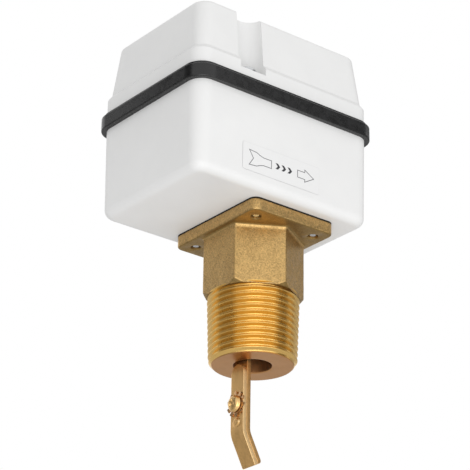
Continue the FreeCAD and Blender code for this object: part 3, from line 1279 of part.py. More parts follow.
# ---------------------------------------------------------------- cable gland
def make_gland():
    """All gland pieces are drawn upright and laid along +Y, seat face at height 0."""
    out = Rotation(Vector(1, 0, 0), -QUARTER_TURN)
    neck_end = "(Dims.gland_hex + Dims.gland_neck)"
    body = new_body("gland_body")
    hexagon = new_sketch(body)
    regular_polygon(hexagon, 6, d("gland_flats"))
    pad(body, hexagon, d("gland_hex"))
    tail_r = "(Dims.entry_r - Dims.gland_slack)"
    bevel = d("gland_bevel")
    turned(body, [
        ("0", "-Dims.gland_tail"), (f"{tail_r} - {bevel}", "-Dims.gland_tail"),
        (tail_r, f"-Dims.gland_tail + {bevel}"), (tail_r, "1"), ("0", "1"),
    ])
    turned(body, [
        ("0", "Dims.gland_hex - 1"), (d("gland_neck_r"), "Dims.gland_hex - 1"),
        (d("gland_neck_r"), f"{neck_end} - {bevel}"), (f"Dims.gland_neck_r - {bevel}", neck_end),
        ("0", neck_end),
    ])
    turned(body, [
        ("0", "-Dims.gland_tail - 1"), (d("gland_bore_r"), "-Dims.gland_tail - 1"),
        (d("gland_bore_r"), f"{neck_end} + 1"), ("0", f"{neck_end} + 1"),
    ], cut=True)
    place(body, d("entry_x"), ENTRY_SEAT, d("entry_z"), out)

    locknut = new_body("gland_locknut")
    wall_in = "(Dims.base_wall + Dims.entry_pad_rise)"
    ring = new_sketch(locknut, offset=f"-{wall_in} - Dims.locknut_thk")
    regular_polygon(ring, 6, d("locknut_flats"))
    circle(ring, "0", "0", f"{tail_r} + Dims.gland_slack / 2")
    pad(locknut, ring, d("locknut_thk"))
    place(locknut, d("entry_x"), ENTRY_SEAT, d("entry_z"), out)

    seal = new_body("gland_seal")
    seal_low = f"({neck_end} - Dims.seal_in)"
    seal_top = f"({neck_end} + Dims.seal_out)"
    seal_r = "(Dims.gland_bore_r - Dims.fit_gap)"
    turned(seal, [
        (d("seal_bore_r"), seal_low), (seal_r, seal_low),
        (seal_r, f"{neck_end} - Dims.gland_slack * 2"),
        (f"{seal_r} - Dims.seal_cone", seal_top), (d("seal_bore_r"), seal_top),
    ])
    place(seal, d("entry_x"), ENTRY_SEAT, d("entry_z"), out)

    nut = new_body("gland_nut")
    low = "(Dims.gland_hex + Dims.gland_nut_gap)"
    top = f"({low} + Dims.gland_nut_len)"
    shoulder = f"({low} + Dims.gland_nut_len * 0.6)"
    hexagon = new_sketch(nut, offset=low)
    regular_polygon(hexagon, 6, d("gland_flats"))
    pad(nut, hexagon, "Dims.gland_nut_len * 0.6")
    turned(nut, [
        ("0", f"{shoulder} - 1"), ("Dims.gland_flats / 2", f"{shoulder} - 1"),
        ("Dims.gland_flats / 2", shoulder),
        ("Dims.gland_flats / 2 * 0.93", f"{shoulder} + Dims.gland_nut_len / 6"),
        ("Dims.gland_flats / 2 * 0.75", top), ("0", top),
    ])
    inner_r = "(Dims.gland_neck_r + Dims.gland_nut_slack)"
    mouth_r = "(Dims.seal_bore_r + Dims.gland_nut_lip)"
    room_top = f"({neck_end} + Dims.gland_nut_room)"
    turned(nut, [
        ("0", f"{low} - 1"), (inner_r, f"{low} - 1"),
        (inner_r, f"{neck_end} + Dims.gland_slack * 4"),
        ("Dims.gland_bore_r + Dims.gland_slack * 3", room_top),
        (mouth_r, room_top), (mouth_r, f"{top} + 1"), ("0", f"{top} + 1"),
    ], cut=True)
    place(nut, d("entry_x"), ENTRY_SEAT, d("entry_z"), out)


make_brass_body()
make_flange_gasket()
make_flange_screws()
make_base_housing()
make_rim_seal()
make_cover()
make_cover_screws()
make_switch_frame()
make_pivot()
make_rocker()
make_paddle_arm()
make_paddle_clamp()
make_clamp_screw()
make_arm_fixings()
make_bellows()
make_range_adjuster()
make_microswitch()
make_terminal_block()
make_earth_screw()
make_gland()

# ---------------------------------------------------------------- recompute, check, write
doc.recompute()
faults = []
for item in doc.Objects:
    if "Invalid" in item.State or "Error" in item.State:
        faults.append(f"{item.Label}: {item.State}")
for body in subparts:
    if body.Shape.isNull() or not body.Shape.isValid() or not body.Shape.Solids:
        faults.append(f"{body.Label}: bad shape")
if faults:
    raise RuntimeError("; ".join(faults))

os.makedirs("parts", exist_ok=True)
for body in subparts:
    body.Shape.exportStep(f"parts/{body.Label}.step")
    solids = len(body.Shape.Solids)
    print(f"{body.Label}: {solids} solid(s), {body.Shape.Volume:.1f} mm3")
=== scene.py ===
# %% [markdown]
# # A paddle flow switch, dressed for its portrait
#
# The real object screws into a pipe. Water pushes a paddle, the flat brass arm that carries
# the paddle swings a few degrees inside the brass fitting, and a small switch in the white
# housing clicks. The CAD model gives every piece its place. This lesson adds what a CAD model
# leaves out: cut threads, cross recesses, cast and moulded skins, and light.
#
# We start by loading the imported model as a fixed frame. Every length below is written in
# millimetres and turned into metres in one place, the function that builds a mesh.

import math

import bpy
import numpy as np
from mathutils import Matrix, Vector


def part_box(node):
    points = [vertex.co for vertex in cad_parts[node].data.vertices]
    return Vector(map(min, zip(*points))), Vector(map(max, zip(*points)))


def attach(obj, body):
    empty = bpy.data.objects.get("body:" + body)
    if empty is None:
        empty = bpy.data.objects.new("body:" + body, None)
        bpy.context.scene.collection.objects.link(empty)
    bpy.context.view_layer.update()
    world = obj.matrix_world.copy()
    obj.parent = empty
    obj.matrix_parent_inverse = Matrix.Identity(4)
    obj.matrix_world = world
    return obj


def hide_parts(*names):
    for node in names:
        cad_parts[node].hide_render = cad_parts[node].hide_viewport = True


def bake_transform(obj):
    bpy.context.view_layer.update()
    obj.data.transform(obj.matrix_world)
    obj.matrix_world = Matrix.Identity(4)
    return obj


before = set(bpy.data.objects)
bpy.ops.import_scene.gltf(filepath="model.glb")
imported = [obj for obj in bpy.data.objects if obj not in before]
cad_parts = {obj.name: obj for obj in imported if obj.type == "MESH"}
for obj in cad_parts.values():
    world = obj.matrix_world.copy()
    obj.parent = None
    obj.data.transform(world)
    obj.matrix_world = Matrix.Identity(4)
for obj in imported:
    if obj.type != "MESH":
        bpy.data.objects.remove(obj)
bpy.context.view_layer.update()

MM = 0.001
TURN = 2.0 * math.pi


def corners_of(node):
    """Lowest and highest corner of a CAD node, in millimetres."""
    low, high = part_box(node)
    return np.array(low) / MM, np.array(high) / MM


seat = corners_of("brass_body")[1][2]
print(f"flange top is {seat:.1f} mm above the thread shoulder")

# %% [markdown]
# ## Surfaces from arrays
#
# Each new piece is a surface: a grid of points in which one direction runs round the piece
# and the other runs along its profile. We could add vertices one by one, but whole numpy
# arrays are faster and the formula stays readable. `build_mesh` takes the finished arrays,
# checks by the signed volume that the faces look outwards, and shades the result smooth
# except across sharp edges.


# %% Grid and mesh helpers
def grid_faces(rows, columns, close_rows=False, close_columns=False):
    """Four-cornered faces between neighbouring points of a rows by columns grid."""
    row = np.arange(rows if close_rows else rows - 1)
    column = np.arange(columns if close_columns else columns - 1)
    row, column = np.meshgrid(row, column, indexing="ij")
    next_row = (row + 1) % rows
    next_column = (column + 1) % columns
    quads = [row * columns + column, row * columns + next_column,
             next_row * columns + next_column, next_row * columns + column]
    return np.stack(quads, axis=-1).reshape(-1, 4)


def signed_volume(points, faces):
    """Volume from the divergence theorem: a fan of triangles over each face, a·(b×c)/6."""
    total = 0.0
    for block in faces:
        first = points[block[:, 0]]
        for corner in range(1, block.shape[1] - 1):
            crossed = np.cross(points[block[:, corner]], points[block[:, corner + 1]])
            total += np.einsum("ij,ij->i", first, crossed).sum() / 6.0
    return total


def build_mesh(name, points, faces, sharp=35.0):
    """A mesh from points in millimetres and a list of face arrays, facing outwards."""
    if signed_volume(points, faces) < 0:
        faces = [block[:, ::-1] for block in faces]
    corner_count = np.concatenate([np.full(len(block), block.shape[1]) for block in faces])
    corners = np.concatenate([block.ravel() for block in faces]).astype(np.int32)
    starts = np.concatenate([[0], np.cumsum(corner_count)[:-1]]).astype(np.int32)
    mesh = bpy.data.meshes.new(name)
    mesh.vertices.add(len(points))
    mesh.vertices.foreach_set("co", (points * MM).astype(np.float32).ravel())
    mesh.loops.add(len(corners))
    mesh.loops.foreach_set("vertex_index", corners)
    mesh.polygons.add(len(starts))
    mesh.polygons.foreach_set("loop_start", starts)
    mesh.update(calc_edges=True)
    mesh.validate()
    mesh.polygons.foreach_set("use_smooth", np.ones(len(mesh.polygons), dtype=bool))
    mesh.set_sharp_from_angle(angle=math.radians(sharp))
    return mesh


def add_piece(name, mesh, materials, body=None):
    """Link a mesh as a piece that rides on a CAD body, if one is given."""
    piece = bpy.data.objects.new(name, mesh)
    bpy.context.scene.collection.objects.link(piece)
    for material in materials if isinstance(materials, list) else [materials]:
        mesh.materials.append(material)
    if body:
        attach(piece, body)
    print(name, "has", len(mesh.polygons), "faces")
    return piece


def tube_surface(name, grid, materials, body=None, closed_profile=False, sharp=35.0):
    """A piece from a grid whose columns close on themselves; open ends get flat caps."""
    rows, columns = grid.shape[:2]
    faces = [grid_faces(rows, columns, closed_profile, True)]
    if not closed_profile:
        faces.append(np.arange(columns)[None, ::-1])
        faces.append((rows - 1) * columns + np.arange(columns)[None, :])
    mesh = build_mesh(name, grid.reshape(-1, 3), faces, sharp)
    return add_piece(name, mesh, materials, body)


def laid(points, axis_x, axis_y, axis_z, origin):
    """Local points carried onto three axes and an origin: p = o + x·ax + y·ay + z·az."""
    basis = np.array([axis_x, axis_y, axis_z], dtype=float)
    return points @ basis + np.array(origin, dtype=float)


X, Y, Z = np.eye(3)

# %% [markdown]
# ## Finishes
#
# A finish is a small network of nodes that reads the piece's own Object coordinates, so the
# grain has its true size in metres and stays put when the piece moves. A mottle makes slow
# changes of colour, a fine noise raises a grain, and a second noise varies the gloss. Those
# three together look like a material, where one flat colour looks like paint on a screen.


# %% A finish with mottle, grain and varied gloss
def new_finish(name, colour, roughness, metallic=0.0, mottle=0.06, mottle_size=6.0,
               grain=0.02, grain_size=0.3, gloss_change=0.08, stretch=(1.0, 1.0, 1.0),
               specular=0.5, speckle=0.0):
    """A procedural material. Sizes are in millimetres, grain is the height of the bumps.

    The colour follows (1 − speckle)·slow mottle + speckle·fine grain, from dark to light.
    """
    material = bpy.data.materials.new(name)
    material.use_nodes = True
    nodes = material.node_tree.nodes
    links = material.node_tree.links
    shader = nodes["Principled BSDF"]
    shader.inputs["Metallic"].default_value = metallic
    shader.inputs["Specular IOR Level"].default_value = specular
    place = nodes.new("ShaderNodeTexCoord")
    mapping = nodes.new("ShaderNodeMapping")
    mapping.inputs["Scale"].default_value = stretch
    links.new(place.outputs["Object"], mapping.inputs["Vector"])

    def noise(size_mm, detail):
        """A noise whose blotches are about this many millimetres wide."""
        texture = nodes.new("ShaderNodeTexNoise")
        texture.inputs["Scale"].default_value = 1.0 / (size_mm * MM)
        texture.inputs["Detail"].default_value = detail
        texture.inputs["Roughness"].default_value = 0.6
        links.new(mapping.outputs["Vector"], texture.inputs["Vector"])
        return texture.outputs["Fac"]

    # a noise gathers round one half, so the ramp and the gloss run over its middle part
    shades = nodes.new("ShaderNodeValToRGB")
    dark = [channel * (1.0 - mottle) for channel in colour]
    light = [min(1.0, channel * (1.0 + mottle)) for channel in colour]
    shades.color_ramp.elements[0].position = 0.32
    shades.color_ramp.elements[0].color = (*dark, 1.0)
    shades.color_ramp.elements[1].position = 0.68
    shades.color_ramp.elements[1].color = (*light, 1.0)
    pattern = nodes.new("ShaderNodeMix")
    pattern.inputs["Factor"].default_value = speckle
    links.new(noise(mottle_size, 4.0), pattern.inputs["A"])
    fine = noise(grain_size, 5.0)
    links.new(fine, pattern.inputs["B"])
    links.new(pattern.outputs["Result"], shades.inputs["Fac"])
    links.new(shades.outputs["Color"], shader.inputs["Base Color"])

    gloss = nodes.new("ShaderNodeMapRange")
    gloss.inputs["From Min"].default_value = 0.3
    gloss.inputs["From Max"].default_value = 0.7
    gloss.inputs["To Min"].default_value = max(0.03, roughness - gloss_change)
    gloss.inputs["To Max"].default_value = min(1.0, roughness + gloss_change)
    links.new(noise(mottle_size * 0.6, 3.0), gloss.inputs["Value"])
    links.new(gloss.outputs["Result"], shader.inputs["Roughness"])

    bump = nodes.new("ShaderNodeBump")
    bump.inputs["Distance"].default_value = grain * MM
    bump.inputs["Strength"].default_value = 1.0
    links.new(fine, bump.inputs["Height"])
    links.new(bump.outputs["Normal"], shader.inputs["Normal"])
    return material


# %% [markdown]
# The flange and hexagon are sand or die cast and only their skin was tumbled, so the brass
# there is a dry tan with a visible grain. The thread was cut on a lathe and shows fresh
# yellow metal. The arm and its clamp are rolled strip, browner, with faint lines along the
# strip. The housing is a satin white moulding, the band between its halves black rubber.

# %% The finishes of this switch
cast_brass = new_finish("cast_brass", (0.56, 0.365, 0.145), 0.40, 1.0, mottle=0.40,
                        mottle_size=3.0, grain=0.10, grain_size=0.55, gloss_change=0.12,
                        speckle=0.8)
# painted shade: a darker copy of cast_brass for the faces of the fitting that look down
painted_shade_brass = new_finish("painted_shade_brass", (0.33, 0.215, 0.078), 0.46, 1.0, mottle=0.30,
                          mottle_size=3.0, grain=0.08, grain_size=0.55, gloss_change=0.10,
                          speckle=0.7)
turned_brass = new_finish("turned_brass", (0.82, 0.53, 0.165), 0.28, 1.0, mottle=0.02,
                          mottle_size=8.0, grain=0.001, grain_size=0.4, gloss_change=0.02)
face_brass = new_finish("face_brass", (0.56, 0.285, 0.105), 0.34, 1.0, mottle=0.05,
                        mottle_size=6.0, grain=0.003, grain_size=0.4, gloss_change=0.04)
# rough brass for the bore and chamber, painted dark for the shade inside them
rough_bore_brass_painted_shade = new_finish("rough_bore_brass_painted_shade", (0.28, 0.135, 0.055), 0.55, 1.0, mottle=0.2,
                        mottle_size=3.0, grain=0.03, grain_size=0.6)
strip_brass = new_finish("strip_brass", (0.80, 0.49, 0.19), 0.36, 1.0, mottle=0.10,
                         mottle_size=2.5, grain=0.003, grain_size=0.4, gloss_change=0.04,
                         stretch=(1.0, 1.0, 0.35))
clamp_edge_brass = new_finish("clamp_edge_brass", (0.90, 0.63, 0.32), 0.50, 1.0, mottle=0.06,
                              mottle_size=2.0, grain=0.004, grain_size=0.3)
arm_edge_brass = new_finish("arm_edge_brass", (0.62, 0.37, 0.145), 0.46, 1.0, mottle=0.10,
                            mottle_size=2.0, grain=0.004, grain_size=0.3)
washer_bronze = new_finish("washer_bronze", (0.62, 0.36, 0.17), 0.28, 1.0, mottle=0.16,
                           mottle_size=1.5, grain=0.008, grain_size=0.3)
screw_brass = new_finish("screw_brass", (0.76, 0.50, 0.21), 0.30, 1.0, mottle=0.22,
                         mottle_size=2.0, grain=0.008, grain_size=0.3)
bellows_bronze = new_finish("bellows_bronze", (0.60, 0.34, 0.15), 0.30, 1.0, mottle=0.1)
white_moulding = new_finish("white_moulding", (0.80, 0.80, 0.795), 0.42, mottle=0.012,
                            mottle_size=14.0, grain=0.010, grain_size=0.45,
                            gloss_change=0.05, specular=0.45)
black_rubber = new_finish("black_rubber", (0.010, 0.010, 0.0103), 0.28, mottle=0.12,
                          mottle_size=5.0, grain=0.004, grain_size=0.35, specular=0.5)
gasket_rubber = new_finish("gasket_rubber", (0.022, 0.018, 0.014), 0.8, grain=0.02,
                           specular=0.3)
plated_steel = new_finish("plated_steel", (0.60, 0.61, 0.62), 0.26, 1.0, mottle=0.05,
                          mottle_size=3.0, grain=0.006, grain_size=0.5)
sheet_steel = new_finish("sheet_steel", (0.56, 0.57, 0.58), 0.34, 1.0, mottle=0.05,
                         mottle_size=4.0, grain=0.008, grain_size=0.5,
                         stretch=(0.15, 1.0, 1.0))
spring_steel = new_finish("spring_steel", (0.42, 0.43, 0.45), 0.28, 1.0)
black_moulding = new_finish("black_moulding", (0.025, 0.025, 0.027), 0.42, mottle=0.1,
                            grain=0.01)
red_moulding = new_finish("red_moulding", (0.45, 0.02, 0.015), 0.38, grain=0.006)
grey_nylon = new_finish("grey_nylon", (0.30, 0.32, 0.34), 0.45, mottle=0.03, grain=0.012)
label_edge = new_finish("label_edge", (0.73, 0.73, 0.73), 0.4)
label_film = new_finish("label_film", (0.80, 0.80, 0.797), 0.36, mottle=0.004,
                        mottle_size=14.0, grain=0.001, gloss_change=0.03, specular=0.45)
label_ink = new_finish("label_ink", (0.035, 0.035, 0.04), 0.45, mottle=0.1, grain=0.002)
arrow_ink = new_finish("arrow_ink", (0.12, 0.12, 0.13), 0.45, mottle=0.1, grain=0.002)
print(len(bpy.data.materials), "finishes")

# %% [markdown]
# ## CAD pieces that only need a finish
#
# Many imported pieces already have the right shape. A CAD object keeps its mesh, and only its
# material slots are changed.

# %% Dress the CAD nodes
CAD_FINISH = [
    (white_moulding, "base_housing cover"),
    (black_rubber, "rim_seal gland_seal"),
    (gasket_rubber, "flange_gasket"),
    (cast_brass, "brass_body"),
    (strip_brass, "paddle_arm paddle_clamp"),
    (screw_brass, "clamp_screw star_washer arm_rivets striker bellows_flange bellows_cap"),
    (screw_brass, "spring_nut terminal_clamps earth_screw"),
    (bellows_bronze, "bellows"),
    (plated_steel, "flange_screws cover_screw_front cover_screw_rear pivot_pin pin_clips"),
    (plated_steel, "range_screw switch_terminals microswitch_screws block_screws"),
    (plated_steel, "terminal_screw_1 terminal_screw_2 terminal_screw_3 earth_washer"),
    (sheet_steel, "switch_frame rocker range_clip"),
    (spring_steel, "range_spring"),
    (black_moulding, "microswitch"),
    (red_moulding, "switch_plunger"),
    (grey_nylon, "terminal_block gland_body gland_locknut gland_nut"),
]
finish_of = {node: finish for finish, nodes in CAD_FINISH for node in nodes.split()}
for node, finish in finish_of.items():
    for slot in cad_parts[node].material_slots:
        slot.material = finish
missing = sorted(set(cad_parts) - set(finish_of))
print("nodes without a finish:", missing)

# %% [markdown]
# ## The brass fitting
#
# Seen from above the flange is a rounded rectangle and the neck below it a hexagon, both
# about the same axis. So the whole skin is a star-shaped surface: for every angle round the
# axis there is one radius, and a list of rows says which outline the radius follows at which
# height. Rows that sit close together at an edge round that edge off, as casting does. This
# is simpler than joining a box to a prism, and the two melt into each other at the root.


# %% Outlines as radius against angle
def rectangle_radius(angle, half_x, half_y, corner):
    """Distance to a rounded rectangle: the nearer side, or the corner's circle."""
    cosine, sine = np.abs(np.cos(angle)), np.abs(np.sin(angle))
    side = np.minimum(half_x / np.maximum(cosine, 1e-9), half_y / np.maximum(sine, 1e-9))
    centre_x, centre_y = half_x - corner, half_y - corner
    along = centre_x * cosine + centre_y * sine
    under = along ** 2 - (centre_x ** 2 + centre_y ** 2 - corner ** 2)
    round_part = along + np.sqrt(np.maximum(under, 0.0))
    in_corner = (side * cosine > centre_x) & (side * sine > centre_y)
    return np.where(in_corner, round_part, side)


def hexagon_radius(angle, flats, corner, first_corner=0.0):
    """Distance to a hexagon with rounded corners: a/cos(φ), or the corner circle near 30°."""
    half = flats / 2.0
    from_corner = np.abs((angle - first_corner + TURN / 12) % (TURN / 6) - TURN / 12)
    from_flat = TURN / 12 - from_corner
    centre = (half - corner) / math.cos(TURN / 12)
    limit = math.atan2(centre * math.sin(TURN / 12), half)
    circle = centre * np.cos(from_corner)
    circle = circle + np.sqrt(np.maximum(corner ** 2 - (centre * np.sin(from_corner)) ** 2, 0))
    return np.where(from_flat > limit, circle, half / np.cos(from_flat))


def ring_grid(rows, columns=240):
    """Points of a star-shaped surface: each row is (radius or radius function, height)."""
    angle = np.linspace(0.0, TURN, columns, endpoint=False)
    grid = np.empty((len(rows), columns, 3))
    for number, (radius, height) in enumerate(rows):
        reach = radius(angle) if callable(radius) else np.full(columns, float(radius))
        grid[number] = np.stack([reach * np.cos(angle), reach * np.sin(angle),
                                 np.full(columns, float(height))], axis=1)
    return grid


# %% [markdown]
# The fitting's rows run up the bore, round the chamber, out over the flange and down the
# hexagon. A slow wave of two hundredths of a millimetre is added to the skin, because a
# casting is never quite flat and metal shows that in its reflections.

# %% Sizes of the fitting
flange_half_x, flange_half_y = corners_of("flange_gasket")[1][:2]
FLANGE_THICKNESS = 4.6
FLANGE_CORNER = 3.0
HEX_FLATS = 32.8
HEX_EDGE = 0.9
HEX_BEVEL = 1.25
BORE_RADIUS = 7.0
CHAMBER_RADIUS = 13.2
CHAMBER_DEPTH = 16.0
COLLAR_SEAT = 15.05
COLLAR_DEPTH = 1.2
SPIGOT_LENGTH = 26.1
SCREW_SPACING = (27.0, 36.0)
WAVE_HEIGHT = 0.02
print(f"flange {2 * flange_half_x:.1f} by {2 * flange_half_y:.1f} mm")


def flange_outline(inset):
    """The flange's rounded rectangle, drawn inwards by inset."""
    return lambda angle: rectangle_radius(angle, flange_half_x - inset, flange_half_y - inset,
                                          max(FLANGE_CORNER - inset, 0.6))


def hex_outline(grow, cone=1e9):
    """The hexagon, grown a little at its root and cut by a cone at its lower corners."""
    return lambda angle: np.minimum(
        hexagon_radius(angle, HEX_FLATS + 2 * grow, HEX_EDGE + grow, TURN / 4), cone)


def fitting_rows():
    """Inside of the bore and chamber, flange, fillet, hexagon, then back to the bore."""
    top = seat
    rows = [(BORE_RADIUS, 1.0), (BORE_RADIUS, top - CHAMBER_DEPTH),
            (CHAMBER_RADIUS, top - CHAMBER_DEPTH), (CHAMBER_RADIUS, top - COLLAR_DEPTH),
            (COLLAR_SEAT, top - COLLAR_DEPTH), (COLLAR_SEAT, top)]
    for inset, drop in ((0.5, 0.0), (0.22, 0.06), (0.06, 0.22), (0.0, 0.5)):
        rows.append((flange_outline(inset), top - drop))
    for inset, drop in ((0.0, -0.9), (0.03, -0.55), (0.16, -0.24), (0.4, -0.07), (0.8, 0.0)):
        rows.append((flange_outline(inset), top - FLANGE_THICKNESS - drop))
    root = top - FLANGE_THICKNESS
    for grow, drop in ((1.6, 0.0), (0.9, 0.12), (0.4, 0.42), (0.12, 0.9)):
        rows.append((hex_outline(grow), root - drop))
    corner = HEX_FLATS / 2 / math.cos(TURN / 12)
    for height in np.linspace(root - 1.6, HEX_BEVEL + 0.4, 30):
        rows.append((hex_outline(0.0), height))
    for share in np.linspace(0.0, 1.0, 9):
        rows.append((hex_outline(0.0, corner - 0.25 - HEX_BEVEL * share),
                     HEX_BEVEL * (1.0 - share)))
    # the lower face runs in above the thread, to where the bore's wall begins again
    rows += [(14.6, 0.0), (9.0, 0.0), (9.0, 1.0)]
    return rows


# %% Cast skin
fitting = ring_grid(fitting_rows(), 360)
heights = fitting[:, :, 2:3]
outward = fitting[:, :, :2]
wave = WAVE_HEIGHT * (np.sin(outward[:, :, :1] * 0.9 + heights * 0.5)
                      * np.cos(outward[:, :, 1:] * 0.8 - heights * 0.37)
                      + 0.6 * np.sin(outward[:, :, 1:] * 2.1 + heights * 1.3 + 1.0))
radius = np.linalg.norm(outward, axis=2, keepdims=True)
skin = (radius > COLLAR_SEAT + 1.0) & (heights < seat - 0.4) & (heights > 0.1)
fitting[:, :, :2] *= 1.0 + np.where(skin, wave, 0.0) / radius
# the second and third materials are painted shade: dark brass in the chamber, a darker copy on
# faces that look down
cast_fitting = tube_surface("cast_fitting", fitting, [cast_brass, rough_bore_brass_painted_shade, painted_shade_brass],
                            "housing", closed_profile=True, sharp=50.0)
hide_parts("brass_body")

# %% [markdown]
# Four tapped holes come through the flange, and the tips of the fixing screws sit a little
# way up inside them. A star-shaped surface can't hold holes, so here a boolean cut is the
# better tool: four short rods, each flared at its mouth, are taken away.


# %% Tapped holes through the flange
def cut(piece, grids):
    """Take closed turned shapes away from a piece, then drop the cutter."""
    points, faces, start = [], [], 0
    for grid in grids:
        rows, columns = grid.shape[:2]
        caps = np.stack([np.arange(columns)[::-1], (rows - 1) * columns + np.arange(columns)])
        faces.append((grid_faces(rows, columns, False, True) + start, caps + start))
        points.append(grid.reshape(-1, 3))
        start += rows * columns
    blocks = [np.concatenate([quad for quad, cap in faces]),
              np.concatenate([cap for quad, cap in faces])]
    mesh = build_mesh("cutter", np.concatenate(points), blocks)
    cutter = bpy.data.objects.new("cutter", mesh)
    bpy.context.scene.collection.objects.link(cutter)
    modifier = piece.modifiers.new("holes", "BOOLEAN")
    modifier.operation = "DIFFERENCE"
    modifier.solver = "EXACT"
    modifier.object = cutter
    graph = bpy.context.evaluated_depsgraph_get()
    result = bpy.data.meshes.new_from_object(piece.evaluated_get(graph))
    piece.modifiers.remove(modifier)
    piece.data = result
    bpy.data.objects.remove(cutter)
    bpy.data.meshes.remove(mesh)


HOLE_RADIUS = 1.85
low_face = seat - FLANGE_THICKNESS
hole = [(HOLE_RADIUS + 0.9, low_face - 1.0), (HOLE_RADIUS + 0.35, low_face - 0.02),
        (HOLE_RADIUS, low_face + 0.35), (HOLE_RADIUS, seat + 1.0)]
cutters = []
for side_x in (-1, 1):
    for side_y in (-1, 1):
        shift = np.array([side_x * SCREW_SPACING[0] / 2, side_y * SCREW_SPACING[1] / 2, 0.0])
        cutters.append(ring_grid(hole, 40) + shift)
cut(cast_fitting, cutters)
print(len(cast_fitting.data.polygons), "faces in the fitting with its four holes")

# %% [markdown]
# ## The taper thread
#
# The spigot carries a one inch taper pipe thread: 55 degree flanks, rounded at crest and
# root, a rise of 1 in 16 on the diameter and 2.309 mm from crest to crest. Modelling one
# groove and repeating it would give rings. A real thread is a helix, so the radius depends on
# height and angle together: the phase of the groove moves up by one pitch in one turn.

# %% Thread surface
PITCH = 2.309
THREAD_DEPTH = 1.40
END_RADIUS = 16.30
TAPER = 1.0 / 32.0
END_BEVEL = 1.1
BEVEL_SETBACK = 0.35
BEVEL_RISE = 1.1


def thread_depth(phase):
    """Depth share over one pitch: narrow crest at 0, straight flanks, rounded root at 0.5."""
    spots = [0.0, 0.035, 0.06, 0.09, 0.34, 0.39, 0.44, 0.50]
    depths = [0.0, 0.01, 0.05, 0.13, 0.86, 0.95, 0.99, 1.0]
    folded = 0.5 - np.abs(phase - 0.5)
    return np.interp(folded, spots, depths)


def thread_grid(columns=200, rows=480):
    """Radius = taper line − depth × groove(phase), and no more than the end bevel's cone."""
    angle = np.linspace(0.0, TURN, columns, endpoint=False)
    height = np.linspace(0.9, -SPIGOT_LENGTH, rows)
    high, turn = np.meshgrid(height, angle, indexing="ij")
    from_end = high + SPIGOT_LENGTH
    reach = END_RADIUS + from_end * TAPER
    phase = ((from_end - PITCH * turn / TURN) / PITCH) % 1.0
    reach = reach - THREAD_DEPTH * thread_depth(phase)
    bevel = END_RADIUS - END_BEVEL - BEVEL_SETBACK + from_end * BEVEL_RISE
    reach = np.minimum(reach, bevel)
    return np.stack([reach * np.cos(turn), reach * np.sin(turn), high], axis=-1)


outer = thread_grid()
columns = outer.shape[1]
inside = ring_grid([(BORE_RADIUS + 0.5, -SPIGOT_LENGTH),
                    (BORE_RADIUS + 0.12, -SPIGOT_LENGTH + 0.15),
                    (BORE_RADIUS, -SPIGOT_LENGTH + 0.5), (BORE_RADIUS, 0.9)], columns)
face_ring = ring_grid([(END_RADIUS - END_BEVEL - 0.55, -SPIGOT_LENGTH),
                       (BORE_RADIUS + 1.0, -SPIGOT_LENGTH)], columns)
spigot = np.concatenate([outer, face_ring, inside])
# the second material is rough brass painted dark as the shade in the bore
taper_thread = tube_surface("taper_thread", spigot, [turned_brass, rough_bore_brass_painted_shade, face_brass],
                            "housing", closed_profile=True, sharp=60.0)

# %% [markdown]
# The bore and the chamber above it never see a polishing tool, so their brass is rough, and it
# is painted dark for the shade inside them. The end of the spigot is faced on the lathe, and
# the faces that look down, the flange's underside among them, are painted darker as shade. We
# could build each as a piece of its own, but a second and third material on the same mesh
# leave no seam. Faces are picked as whole arrays, by how far their centre lies from the axis
# or by where they face.


# %% Faces with a skin or a painted shade of their own
# the cosine of 50 degrees
FACING = 0.64


def face_values(piece, name, kind=float, width=3):
    """One row for each face of a piece, such as its centre or its normal."""
    values = np.empty(len(piece.data.polygons) * width, dtype=kind)
    piece.data.polygons.foreach_get(name, values)
    return values.reshape(-1, width)


def paint(piece, chosen, slot_index):
    """Give the chosen faces another of the piece's materials, and count them."""
    indices = face_values(piece, "material_index", np.int32, 1).ravel()
    indices[chosen] = slot_index
    piece.data.polygons.foreach_set("material_index", indices)
    return int(chosen.sum())


def paint_inside(piece, radius, top, slot_index=1):
    """Faces whose centre lies within a radius of the axis and below a height."""
    centres = face_values(piece, "center") / MM
    inner = (np.hypot(centres[:, 0], centres[:, 1]) < radius) & (centres[:, 2] < top)
    return paint(piece, inner, slot_index)


def paint_facing(piece, towards, slot_index):
    """Faces of the first material whose normal leans less than 50 degrees from a direction."""
    plain = face_values(piece, "material_index", np.int32, 1).ravel() == 0
    facing = face_values(piece, "normal") @ np.array(towards, dtype=float) > FACING
    return paint(piece, facing & plain, slot_index)


print(paint_inside(taper_thread, END_RADIUS, 0.2 - SPIGOT_LENGTH, 2), "faces on the end")
# the bore and the chamber take the rough brass that is painted dark as their inner shade
print(paint_inside(taper_thread, BORE_RADIUS + 0.3, 5.0), "faces in the bore")
print(paint_inside(cast_fitting, CHAMBER_RADIUS + 0.3, seat), "faces in the chamber")
# painted shade: the faces that look down take the darker copy of the cast brass
print(paint_facing(cast_fitting, -Z, 2), "faces on the faces that look down, painted in shade")

# %% [markdown]
# ## Arm and clamp
#
# The arm is a flat strip that hangs through the bore. A second strip, the clamp, lies
# on its upstream face, and a paddle leaf would be held between the two. Both are bent at
# the same place. Each is one cross-section carried along a path of line, arc and line, so
# the inner strip keeps its thickness through the bend. The section has softened corners,
# which catch the light as rolled and sheared edges do.

# %% Path and section of a bent strip
ARM_FACE = -3.5
ARM_THICK = 1.75
CLAMP_THICK = 1.7
STRIP_WIDTH = 7.1
BEND_CORNER = seat - 80.8
BEND_ANGLE = math.radians(27.0)
BEND_RADIUS = 7.0
BENT_LENGTH = 12.3
joint_x = ARM_FACE - ARM_THICK
CLAMP_TOP = corners_of("paddle_clamp")[1][2]
RIB_CENTRE = seat - 77.0
RIB_HALF_WIDTH, RIB_HALF_HEIGHT = 2.3, 1.8
RIB_RISE = 0.75


